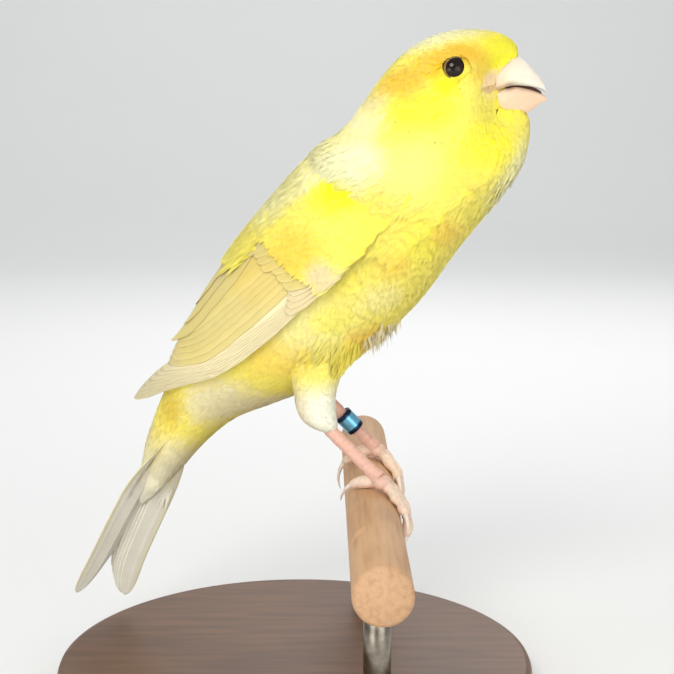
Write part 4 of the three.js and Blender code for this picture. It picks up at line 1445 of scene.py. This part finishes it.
# Tints of the folded wing: colour, strength, middle and reach, as the markings
WING_TINTS = [
    ("cream", 0.6, (-12.0, 8.0, 57.0), (14.0, 9.0, 8.0)),
    ("lemon", 0.8, (-6.0, 15.0, 50.0), (10.0, 8.0, 8.0)),
    ("bright", 1.0, (-1.0, 16.0, 56.0), (7.5, 7.0, 5.2)),
    ("gold", 0.6, (-9.5, 16.3, 45.5), (10.0, 7.0, 7.0)),
    ("gold", 0.25, (-19.0, 15.0, 37.0), (9.0, 7.0, 6.0)),
    ("lemon", 0.55, (-14.0, 15.0, 48.0), (5.0, 5.0, 3.5)),
    ("wrist", 0.9, (-2.6, 17.3, 41.2), (4.6, 5.0, 4.4)),
    ("grey", 0.55, (-44.0, 8.0, 16.0), (13.0, 7.0, 8.0)),
    ("grey", 0.3, (-28.0, 8.0, 40.0), (9.0, 6.0, 9.0)),
]


def wing_shade(points, base):
    """The colour of the folded wing at each point, over the colour of the feather there."""
    return tint_over(points, base, WING_TINTS)


def wing_vane(side, row, k, rng):
    """Points, faces, places and colours of one long wing feather."""
    columns = np.array([0, 0.06, 0.2, 0.34, 0.4, 0.46, 0.6, 0.75, 0.9, 1.0])
    rows = np.concatenate([np.linspace(0, 0.75, 12), np.linspace(0.8, 1, 9)])
    u, v, face, quads = vane_form(columns, rows)
    root, tip = row["root"](k), row["tip"](k)
    along = mix(root[0], tip[0], v)
    half = row["width"] / 2 * vane_share(v, row["point"])
    middle = mix(root[1], tip[1], v) + row["width"] / 2
    rise = mix(row["lift"][1] + row["step"] * k, row["lift"][0] + row["step"] * k * 0.5, u)
    rise = rise * mix(0.5, 1.0, v)
    shaft = 0.05 * np.exp(-(((u - 0.4) / 0.035) ** 2)) * (1 - 0.7 * v)
    notch = 0.04 * np.sin(v * 47 + k * 2.1) * np.abs(2 * u - 1) ** 6 * smooth(0.25, 0.6, v)
    across = middle + (2 * u - 1) * half * (1 + notch)
    thick = 0.09 * (1 - 0.5 * v) * (1 - 0.6 * np.abs(2 * u - 1) ** 4)
    points = bed_ground(side)(along, across, rise + np.where(face > 0, shaft, -thick))
    main, rim = (colour(name) for name in row["shades"])
    if row["tinted"]:
        tinted = wing_shade(points, main)
    else:
        tinted = mix(main, colour("grey"), tip_grey(points)[:, None])
    edge = 0.22 * smooth(0.2, 0.0, u) + 0.2 * smooth(0.94, 1.0, v)
    shade = mix(tinted, rim, edge[:, None])
    shade = shade * (1 - 0.05 * smooth(0.06, 0.0, np.abs(u - 0.4)))[:, None]
    return points, quads, np.stack([u, v], -1), np.clip(shade * rng.uniform(0.97, 1.02), 0, 1)


def tip_grey(points):
    """How grey the long feathers are towards the wing's tip."""
    return 0.6 * smooth(-30.0, -48.0, points[:, 0])


class CANARY_OT_wings(bpy.types.Operator):
    """Flight feathers and coverts of both wings"""

    bl_idname = "canary.wings"
    bl_label = "Wings"

    def execute(self, context):
        coat = context.scene.canary_coat
        finish = plumage_material("flight_plumage", 26.0)
        small = plumage_material("covert_plumage")
        for name, side in SIDES:
            rng = np.random.default_rng(coat.seed + 80)
            vanes = []
            for row in WING_ROWS:
                for k in range(row["count"]):
                    points, quads, places, shade = wing_vane(side, row, k, rng)
                    quads = quads if side > 0 else quads[:, ::-1]
                    corner = (0.02 + 0.022 * len(vanes), 0.35 if side > 0 else 0.02)
                    vanes.append((points, quads, places, shade, places * (0.018, 0.3) + corner))
            piece = vane_piece(f"wing_feathers_{name}", vanes, finish)
            finish_piece(piece, "wing", f"wing_{name}")
            self.small_coverts(coat, side, name, small)
        return {"FINISHED"}

    def small_coverts(self, coat, side, name, finish):
        """Small coverts, scapulars and the feathers over the front of the wing."""
        ground = bed_ground(side)
        rng = np.random.default_rng(coat.seed + 90)
        # Name, along from and to, across from and to, spacing, length, width, lift
        beds = (
            ("small", 0.69, 0.965, 0.8, 24.0, 0.8, 4.8, 2.2, (-0.3, 1.0, 1.1)),
            ("scapular", 0.60, 1.04, 16.0, 31.0, 1.1, 9.0, 2.8, (-1.6, -0.2, -0.1)),
            ("front", 0.84, 1.18, -7.0, 28.0, 0.8, 6.0, 2.3, (-2.4, -1.3, -1.2)),
        )

        def onto(a, b):
            """How far a feather of the front lies up on the wing, from the body's level."""
            return smooth(1.13, 0.97, a) * smooth(-6.0, 8.0, b)

        def kept(here, a, b):
            return side * here[..., 1] > 0.15

        def kept_front(here, a, b):
            return (side * here[..., 1] > 0.15) & ((a > 0.955) | (b < 4.5))

        def small_rise(a, b):
            low = -1.3 * smooth(6.0, 0.5, b) * smooth(0.8, 0.92, a)
            return low - 0.45 * smooth(0.87, 0.96, a)

        rises = {
            "small": small_rise,
            "scapular": lambda a, b: 1.35 * smooth(1.04, 0.94, a),
            "front": lambda a, b: 2.35 * onto(a, b),
        }
        for number, (part, low, high, bottom, top, gap, length, width, lift) in enumerate(beds):
            front = part == "front"
            a, b = root_rows(ground, low, high, gap, rng, (bottom, top))

            def patch(a, b):
                return np.stack([0.02 + 0.3 * number + 0.28 * (b + 8) / 36, 0.64 + 0.28 * a], -1)

            def shade(here, a, b):
                on_wing = onto(a, b) if front else np.ones(len(a))
                plain = markings(here)
                base = mix(colour("lemon"), plain, smooth(50.0, 56.0, here[..., 2])[..., None])
                return mix(plain, wing_shade(here, base), on_wing[:, None])

            kind = {
                "seed": coat.seed + 100 + number,
                "barbs": 6,
                "length": always(length),
                "width": always(width),
                "lift": lift,
                "colour": shade,
                "thick": 0.04,
                "turn": 0.05,
                "ruffle": always(0.02),
                "raise": rises[part],
            }
            keep = kept_front if front else kept
            label = f"{part}_coverts_{name}"
            lay_coat(label, "wing", ground, a, b, kind, patch, finish, keep=keep)


class CANARY_OT_tail(bpy.types.Operator):
    """Twelve tail feathers"""

    bl_idname = "canary.tail"
    bl_label = "Tail"

    def execute(self, context):
        finish = plumage_material("tail_plumage", 30.0)
        columns = np.array([0, 0.05, 0.15, 0.28, 0.34, 0.4, 0.55, 0.7, 0.85, 0.95, 1.0])
        rows = np.concatenate([np.linspace(0, 0.8, 14), np.linspace(0.84, 1, 9)])
        vanes = []
        rng = np.random.default_rng(3)
        for side in (1, -1):
            for k, reach in enumerate(TAIL_LENGTHS):
                u, v, face, quads = vane_form(columns, rows)
                half = 5.2 / 2 * vane_share(v, 0.62)
                fan = (0.45 + 0.55 * v) * 0.8
                part = 1.0 + 0.9 * smooth(0.75, 1, v)
                across = side * (part + fan * k + (1 - 2 * u) * half)
                camber = 0.35 - 0.5 * (across / 6) ** 2
                shaft = 0.09 * np.exp(-(((u - 0.34) / 0.03) ** 2)) * (1 - 0.6 * v)
                sheet = np.where(face > 0, shaft, -0.18 * (1 - 0.4 * v) - shaft)
                points = tail_ground(reach * v, across, (2.5 - k) * 0.36 + camber + sheet)
                quads = quads if side < 0 else quads[:, ::-1]
                places = np.stack([u, v], -1)
                outer = 0.8 * smooth(0.3, 0.0, u) * (1 - 0.45 * v)
                shade = mix(colour("tail"), colour("tail_edge"), outer[:, None])
                shade = mix(shade, colour("rump"), (0.5 * smooth(0.35, 0.0, v))[:, None])
                shade = np.clip(shade * rng.uniform(0.96, 1.02), 0, 1)
                corner = (0.02 + 0.08 * (k + (6 if side > 0 else 0)), 0.05)
                vanes.append((points, quads, places, shade, places * (0.06, 0.9) + corner))
        piece = vane_piece("tail_feathers", vanes, finish)
        finish_piece(piece, "tail", "tail")
        self.coverts(context.scene.canary_coat)
        return {"FINISHED"}

    def coverts(self, coat):
        """Small feathers above and below the root of the tail."""
        finish = plumage_material("tail_covert_plumage")
        faces = (("above", 1, 1.35), ("below", -1, 0.45))
        for number, (name, face, off) in enumerate(faces):
            rng = np.random.default_rng(coat.seed + 130 + number)

            def ground(a, across, lift):
                drop = 0.43 * (np.sqrt(across**2 + 1) - 1)
                return tail_ground(1 - a, across, off - drop + face * lift)

            def patch(a, b):
                return np.stack([0.04 + 0.4 * number + 0.35 * (b + 6) / 12, 0.04 + 0.5 * a], -1)

            def shade(here, a, b):
                return mix(markings(here), colour("tail"), smooth(0.78, 0.6, a)[:, None])

            kind = {
                "seed": coat.seed + 140 + number,
                "barbs": 6,
                "length": always(8.0),
                "width": always(2.4),
                "lift": (-0.5, 0.12, 0.16),
                "colour": shade,
                "thick": 0.04,
                "turn": 0.05,
            }
            a, b = root_rows(ground, 0.62, 0.93, 0.9, rng, (-5.4, 5.4))
            kept = np.abs(b) < 2.7 + 3.4 * (1 - a)
            label = f"tail_coverts_{name}"
            lay_coat(label, "tail", ground, a[kept], b[kept], kind, patch, finish)


def bill_form(sections, ridge):
    """One half of the bill, widest at its cutting edge, with its ridge up, 1, or down, -1."""

    def place(t, angle, rim):
        row = through(sections, t)
        over = ridge * np.cos(angle)
        height = np.where(over > 0, row[:, 1] - row[:, 2], -0.35 * smooth(0.0, 0.6, row[:, 3]))
        cut = row[:, 2] if ridge > 0 else row[:, 1]
        z = cut + ridge * rim * height * power(over, 0.85)
        side = rim * row[:, 3] * power(np.sin(angle), 0.8)
        return turn_head(np.stack([row[:, 0], side, z], -1))

    return grid_tube(48, 60, place)


class CANARY_OT_bill(bpy.types.Operator):
    """Upper and lower bill"""

    bl_idname = "canary.bill"
    bl_label = "Bill"

    def execute(self, context):
        finish = new_material("horn_of_bill", 0.34, Subsurface_Weight=0.25, Subsurface_Scale=0.0012)
        nodes = Nodes(finish)
        nodes.painted(700, 3, (0.93, 0.9, 0.88))
        nodes.bump(nodes.noise(1500, 2), 0.12, 0.0001)
        pieces = (
            ("bill_top", UPPER_BILL, 1, "bill", "bill_upper"),
            ("bill_bottom", LOWER_BILL, -1, "bill_low", "bill_lower"),
        )
        for name, sections, ridge, shade, node in pieces:
            points, faces = bill_form(sections, ridge)
            piece = bird_piece(name, points, faces, finish)
            straight = straighten(to_row(points))
            ahead = smooth(22.5, 27.5, straight[:, 0])[:, None]
            base = mix(colour("bill_low"), colour(shade), ahead)
            # Painted shade in the corner of the mouth, with some of the gape's own brown: both halves
            # darken towards where they meet there
            from_corner = (straight * (1, 0, 1) - (24.6, 0, 73.0)) / (1.6, 1, 0.7)
            dark = smooth(1.0, 0.2, np.linalg.norm(from_corner, axis=-1))
            paint(piece, "plumage", base * (1 - 0.45 * dark[:, None]))
            finish_piece(piece, "bill", node)
        self.mouth()
        return {"FINISHED"}

    def mouth(self):
        """The mouth and tongue between the halves, coloured dark as painted shade inside the mouth."""
        rows = [(21.5, 72.0, 2.6, 0.5), (24.0, 72.8, 3.0, 0.5), (26.4, 72.9, 2.5, 0.5)]
        rows += [(28.6, 72.6, 1.5, 0.5), (30.3, 72.1, 0.6, 0.42), (31.0, 71.8, 0.15, 0.2)]

        def place(t, angle, rim):
            row = through(rows, t)
            side, up = rim * row[:, 2] * np.sin(angle), rim * row[:, 3] * np.cos(angle)
            return turn_head(np.stack([row[:, 0], side, row[:, 1] + up], -1))

        flesh = new_material("mouth", 0.5)
        # Painted shade: the mouth is coloured a dark brown-red for the shade between the bill's halves
        Nodes(flesh).speckled(1200, 2, srgb(70, 40, 34), srgb(118, 72, 58))
        finish_piece(bird_piece("mouth", *grid_tube(24, 24, place), flesh), "bill")


class CANARY_OT_eyes(bpy.types.Operator):
    """Eyeballs and the rims of their lids"""

    bl_idname = "canary.eyes"
    bl_label = "Eyes"

    def execute(self, context):
        ball = new_material("eye", 0.05, Specular_IOR_Level=0.3)
        Nodes(ball).speckled(900, 2, (0.006, 0.003, 0.002), (0.03, 0.014, 0.006), 0.35, 0.75)
        rim_look = new_material("eyelid", 0.6)
        Nodes(rim_look).speckled(2500, 2, srgb(96, 74, 34), srgb(150, 122, 58))
        for name, side in SIDES:
            eye = turn_head(np.array([EYE]) * (1, side, 1))
            out = turn_head(np.array([np.add(EYE, EYE_OUT)]) * (1, side, 1)) - eye
            at, out = to_place(eye)[0], unit(turn_about_z(out, BIRD_TURN))[0]
            bm = bmesh.new()
            bmesh.ops.create_uvsphere(bm, u_segments=40, v_segments=28, radius=EYE_RADIUS)
            bmesh.ops.translate(bm, vec=at, verts=bm.verts)
            finish_piece(from_bmesh(f"eyeball_{name}", bm, ball), "eye", f"eye_{name}")
            turn = Vector(out).to_track_quat("Z", "Y")

            def ring(t, angle):
                around = t * TAU
                across = 2.16 + 0.2 * np.cos(angle)
                up = 1.45 + 0.36 * np.sin(angle)
                return np.stack([across * np.cos(around), across * np.sin(around) * 0.94, up], -1)

            points, faces = torus(48, 12, ring)
            spun = np.array([(turn @ Vector(p))[:] for p in points]) + at
            lid = mesh_piece(f"eyelid_{name}", spun * MM, outward(faces, points), rim_look)
            finish_piece(lid, "plumage")
        return {"FINISHED"}


def torus(steps, sides, place):
    """Points and faces of a ring; place(t, angle) gives a point."""
    t, angle = np.meshgrid(np.arange(steps) / steps, np.arange(sides) * TAU / sides, indexing="ij")
    points = place(t.ravel(), angle.ravel())
    index = np.arange(t.size).reshape(t.shape)
    on, beside = np.roll(index, -1, 0), np.roll(index, -1, 1)
    both = np.roll(on, -1, 1)
    halves = ([index, on, both], [index, both, beside])
    return points, np.concatenate([np.stack(half, -1).reshape(-1, 3) for half in halves])


# Legs


def leg_point(leg, place):
    """A place given for the left side, on the leg's own side."""
    return np.array(place, float) * (1, leg["side"], 1)


def to_perch(points):
    """From the bird's frame to one with the perch's axis as y."""
    return turn_about_z(points, BIRD_TURN) + GRIP


def to_bird(points):
    """From the perch's frame back to the bird's."""
    return turn_about_z(points - GRIP, -BIRD_TURN)


def off_perch(points):
    """The direction straight off the perch's axis at each point."""
    place = to_perch(points) * (1, 0, 1)
    return unit(turn_about_z(place, -BIRD_TURN))


def toe_line(leg, toe, distances):
    """A toe's way from the foot over the perch and round it, then on as its claw."""
    name, turn, radius = toe[0], toe[1], toe[3]
    foot = to_perch(leg_point(leg, leg["foot"])[None])[0]
    hind = name == "hind"
    turn = math.radians(leg["hind"] if hind else leg["turn"] + leg["side"] * turn)
    way = -distances if hind else distances
    clear = PERCH_RADIUS + 0.12 + radius * 1.06
    start = math.hypot(foot[0], foot[2])
    reach = mix(max(start, clear), clear, smooth(0, 4.4, distances))
    angle = math.atan2(foot[0], foot[2]) + way * math.cos(turn) / clear
    place = np.stack([reach * np.sin(angle), foot[1] - way * math.sin(turn), reach * np.cos(angle)], -1)
    return to_bird(place)


def toe_form(leg, toe):
    """A toe with a pad at each joint and scales."""
    length, radius, joints = toe[2:5]
    line = toe_line(leg, toe, np.linspace(0, length, 12))

    def size(t):
        pad = 0.13 * np.cos(TAU * joints * (t - 0.5)) * smooth(0, 0.25, t)
        scale = 0.045 * np.abs(np.sin(t * length * 2.4)) ** 0.5
        end = np.sqrt(np.clip(1 - np.maximum(0, (t - 0.88) / 0.12) ** 2, 0.05, 1))
        full = (radius * (1.12 - 0.3 * t) + pad) * end + scale
        return full, full * 1.02

    return curve_tube(line, 20, 96, size, off_perch)


def claw_form(leg, toe):
    """A claw from inside the toe's end to its point."""
    length, claw = toe[2], toe[5]
    share = np.linspace(0, 1, 10)
    line = toe_line(leg, toe, length - 0.9 + (claw + 0.9) * share)
    line = line + off_perch(line) * (0.5 * share * (1 - share) - 0.35 * share)[:, None]

    def size(t):
        radius = 0.55 * np.sqrt(np.clip(1 - t, 0.004, 1)) * (1 - 0.25 * t)
        return radius * 0.8, radius

    return curve_tube(line, 14, 28, size, off_perch)


def tarsus_line(leg):
    """The shank's middle line from above the ankle to the foot."""
    ankle, foot = leg_point(leg, leg["ankle"]), leg_point(leg, leg["foot"])
    end = mix(ankle, foot, 0.93)
    return np.array([ankle + (-0.4, 0, 0.9), ankle, mix(ankle, end, 0.5), end])


def shank_size(t):
    """The shank's two half sizes, with its plates and the knuckle at its top."""
    scute = 0.10 * ((t * 8) % 1)
    knuckle = 0.45 * np.exp(-(((t - 0.1) / 0.09) ** 2)) + 0.25 * smooth(0.85, 1, t)
    end = np.sqrt(np.clip(t / 0.06, 0, 1))
    return end * (1.05 + scute + knuckle), end * (1.25 + scute + knuckle)


def shank_front(middle):
    """The way the shank is deepest."""
    return np.broadcast_to(np.array([1.0, 0.0, 0.4]), middle.shape)


def foot_ball(centre):
    """The ball of a foot, where its toes meet."""

    def place(t, angle, rim):
        x = rim * 1.85 * np.sin(t * math.pi) * np.cos(angle)
        y = rim * 1.8 * np.sin(t * math.pi) * np.sin(angle)
        return centre + np.stack([x, y, 1.4 * np.cos(t * math.pi)], -1)

    return grid_tube(24, 20, place)


class CANARY_OT_legs(bpy.types.Operator):
    """Shanks, feet and claws"""

    bl_idname = "canary.legs"
    bl_label = "Legs"

    def execute(self, context):
        scaly = new_material("scaly_skin", 0.5, Subsurface_Weight=0.2, Subsurface_Scale=0.001)
        nodes = Nodes(scaly)
        nodes.painted(1100, 3, (0.84, 0.8, 0.78))
        nodes.bump(nodes.noise(2600, 2), 0.25, 0.0001)
        horn = new_material("claw_horn", 0.3, Subsurface_Weight=0.2, Subsurface_Scale=0.001)
        Nodes(horn).speckled(800, 2, colour("claw") * 0.86, colour("claw"))
        for name, leg in LEGS.items():
            points, faces = curve_tube(tarsus_line(leg), 28, 120, shank_size, shank_front)
            piece = bird_piece(f"shank_{name}", points, faces, scaly)
            paint(piece, "plumage", np.broadcast_to(colour("leg"), points.shape))
            finish_piece(piece, "skin", f"tarsus_{name}")
            centre = leg_point(leg, leg["foot"])
            points, faces = gather([foot_ball(centre)] + [toe_form(leg, toe) for toe in TOES])
            piece = mesh_piece(f"toes_{name}", to_row(points), faces, scaly)
            fix_normals(piece)
            away = np.linalg.norm(points - centre, axis=-1)
            shade = mix(colour("leg"), colour("toe"), smooth(0.5, 4.0, away)[:, None])
            paint(piece, "plumage", shade)
            finish_piece(piece, "skin", f"foot_{name}")
            points, faces = gather([claw_form(leg, toe) for toe in TOES])
            piece = mesh_piece(f"claws_{name}", to_row(points), faces, horn)
            fix_normals(piece)
            finish_piece(piece, "claw", *[f"claw_{name}_{toe[0]}" for toe in TOES])
        return {"FINISHED"}


def fix_normals(piece):
    """Turns every face of a closed piece outwards."""
    bm = bmesh.new()
    bm.from_mesh(piece.data)
    bmesh.ops.recalc_face_normals(bm, faces=bm.faces)
    bm.to_mesh(piece.data)
    bm.free()


class CANARY_OT_ring(bpy.types.Operator):
    """Leg ring round the left shank"""

    bl_idname = "canary.ring"
    bl_label = "Leg ring"

    def execute(self, context):
        finish = new_material("anodised_ring", 0.3, Metallic=0.75)
        Nodes(finish).painted(1600, 3, (0.8, 0.8, 0.82), 0.35, 0.65)
        line = tarsus_line(LEGS["left"])
        before, at, after = through(line, np.array([0.62, 0.63, 0.64]))
        profile = [(1.55, -2.2), (1.8, -2.2), (1.9, -2.1)]
        profile += [(1.9, z) for z in (-1.6, -1.3, -1.2, 1.2, 1.3, 1.6)]
        profile += [(1.9, 2.1), (1.8, 2.2), (1.55, 2.2)]
        bm = spun(profile, 56, closed=True)
        bmesh.ops.recalc_face_normals(bm, faces=bm.faces)
        shades = [1.0 - float(smooth(1.2, 1.35, np.abs(v.co.z))) for v in bm.verts]
        axis = Vector(turn_about_z(unit(after - before), BIRD_TURN))
        turn = axis.to_track_quat("Z", "Y").to_matrix()
        bmesh.ops.rotate(bm, cent=(0, 0, 0), matrix=turn, verts=bm.verts)
        bmesh.ops.translate(bm, vec=to_place(at), verts=bm.verts)
        piece = from_bmesh("ring", bm, finish)
        shade = mix(colour("ring_end"), colour("ring"), np.array(shades)[:, None])
        paint(piece, "plumage", shade)
        finish_piece(piece, "ring", "leg_ring")
        return {"FINISHED"}


class CANARY_OT_perch(bpy.types.Operator):
    """Cut length of round perch"""

    bl_idname = "canary.perch"
    bl_label = "Perch"

    def execute(self, context):
        finish = new_material("perch_wood", 0.62)
        nodes = Nodes(finish)
        grain = nodes.grain(900, (1, 0.08, 1))
        light, dark = colour("wood"), colour("wood_dark")
        wood = nodes.ramp(grain, (0.3, mix(dark, light, 0.5)), (0.55, light), (0.8, light * 1.05))
        worn = nodes.ramp(nodes.noise(60, 3), (0.35, (0.9, 0.86, 0.82)), (0.65, (1, 1, 1)))
        lines = nodes.add("ShaderNodeTexWave", Scale=14.0, Distortion=5.0, Detail=2.0)
        lines.bands_direction = "Y"
        nodes.link(nodes.here(), lines.inputs["Vector"])
        scratch = nodes.ramp(lines.outputs["Fac"], (0.955, (0, 0, 0)), (0.99, (1, 1, 1)))
        patchy = nodes.ramp(nodes.noise(90, 2), (0.5, (0, 0, 0)), (0.62, (0.6, 0.6, 0.6)))
        scratch = nodes.multiply(scratch, patchy)
        wood = nodes.blend(1.0, wood, worn, "MULTIPLY")
        nodes.base(nodes.blend(scratch, wood, light * 1.35))
        nodes.bump(grain, 0.3, 0.0003)
        end = PERCH_LENGTH / 2

        def place(t, angle, rim):
            y = mix(-end, end, t)
            worn = 0.8 * smooth(end - 0.9, end, np.abs(y)) ** 2 + 1.2 * smooth(end - 3.0, end, y) ** 2
            radius = (PERCH_RADIUS - worn) * rim
            z = PERCH_TOP - PERCH_RADIUS + radius * np.sin(angle)
            return np.stack([PERCH_X + radius * np.cos(angle), y, z], -1)

        points, faces = grid_tube(64, 160, place)
        piece = mesh_piece("perch_wood", points * MM, outward(faces, points), finish)
        finish_piece(piece, "perch", "perch")
        return {"FINISHED"}


class CANARY_OT_stand(bpy.types.Operator):
    """Turned base and two rods"""

    bl_idname = "canary.stand"
    bl_label = "Stand"

    def execute(self, context):
        finish = new_material("stained_wood", 0.42)
        nodes = Nodes(finish)
        grain = nodes.grain(420, (0.12, 1, 1))
        shade = colour("stand")
        nodes.base(nodes.ramp(grain, (0.3, shade * 0.62), (0.65, shade)))
        nodes.bump(grain, 0.15, 0.0002)
        profile = [(0, 0), (46.4, 0), (47, 0.6), (47, 5.8), (46.65, 6.65), (45.8, 7), (0, 7)]
        bm = spun(profile, 128, closed=False)
        bmesh.ops.remove_doubles(bm, verts=bm.verts, dist=1e-4)
        bmesh.ops.recalc_face_normals(bm, faces=bm.faces)
        base = from_bmesh("base", bm, finish, False)
        finish_piece(base, "stand", "stand_base")
        brass = new_material("rod_metal", 0.32, Metallic=1.0)
        Nodes(brass).speckled(500, 3, srgb(120, 112, 100), srgb(168, 160, 146))
        for name, node in (("rod_near", "stand_rod_front"), ("rod_far", "stand_rod_back")):
            low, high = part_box(node)
            bm = bmesh.new()
            rod = {"radius1": ROD_RADIUS, "radius2": ROD_RADIUS, "depth": high.z / MM - BASE_TOP}
            bmesh.ops.create_cone(bm, cap_ends=True, segments=40, **rod)
            middle = ((low.x + high.x) / 2 / MM, (low.y + high.y) / 2 / MM)
            middle = (*middle, (high.z / MM + BASE_TOP) / 2)
            bmesh.ops.translate(bm, vec=middle, verts=bm.verts)
            finish_piece(from_bmesh(name, bm, brass), "stand", node)
        return {"FINISHED"}


OPERATORS = [
    CANARY_OT_stage,
    CANARY_OT_skin,
    CANARY_OT_head_coat,
    CANARY_OT_bristles,
    CANARY_OT_body_coat,
    CANARY_OT_thighs,
    CANARY_OT_wings,
    CANARY_OT_tail,
    CANARY_OT_bill,
    CANARY_OT_eyes,
    CANARY_OT_legs,
    CANARY_OT_ring,
    CANARY_OT_perch,
    CANARY_OT_stand,
]


class CANARY_PT_panel(bpy.types.Panel):
    """Lists the pieces and the colours"""

    bl_label = "Canary"
    bl_idname = "CANARY_PT_panel"
    bl_space_type = "VIEW_3D"
    bl_region_type = "UI"
    bl_category = "Canary"

    def draw(self, context):
        column = self.layout.column(align=True)
        for operator in OPERATORS:
            column.operator(operator.bl_idname)
        for key in COLOURS:
            column.prop(context.scene.canary_colours, key)
        for key in ("depth", "body_spacing", "face_spacing", "seed"):
            column.prop(context.scene.canary_coat, key)


CLASSES = [CanaryColours, CanaryCoat, *OPERATORS, CANARY_PT_panel]


def register():
    for item in CLASSES:
        bpy.utils.register_class(item)
    bpy.types.Scene.canary_colours = bpy.props.PointerProperty(type=CanaryColours)
    bpy.types.Scene.canary_coat = bpy.props.PointerProperty(type=CanaryCoat)


def unregister():
    del bpy.types.Scene.canary_coat
    del bpy.types.Scene.canary_colours
    for item in reversed(CLASSES):
        bpy.utils.unregister_class(item)


def main():
    register()
    for operator in OPERATORS:
        group, name = operator.bl_idname.split(".")
        getattr(getattr(bpy.ops, group), name)()
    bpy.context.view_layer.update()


if __name__ == "__main__":
    main()
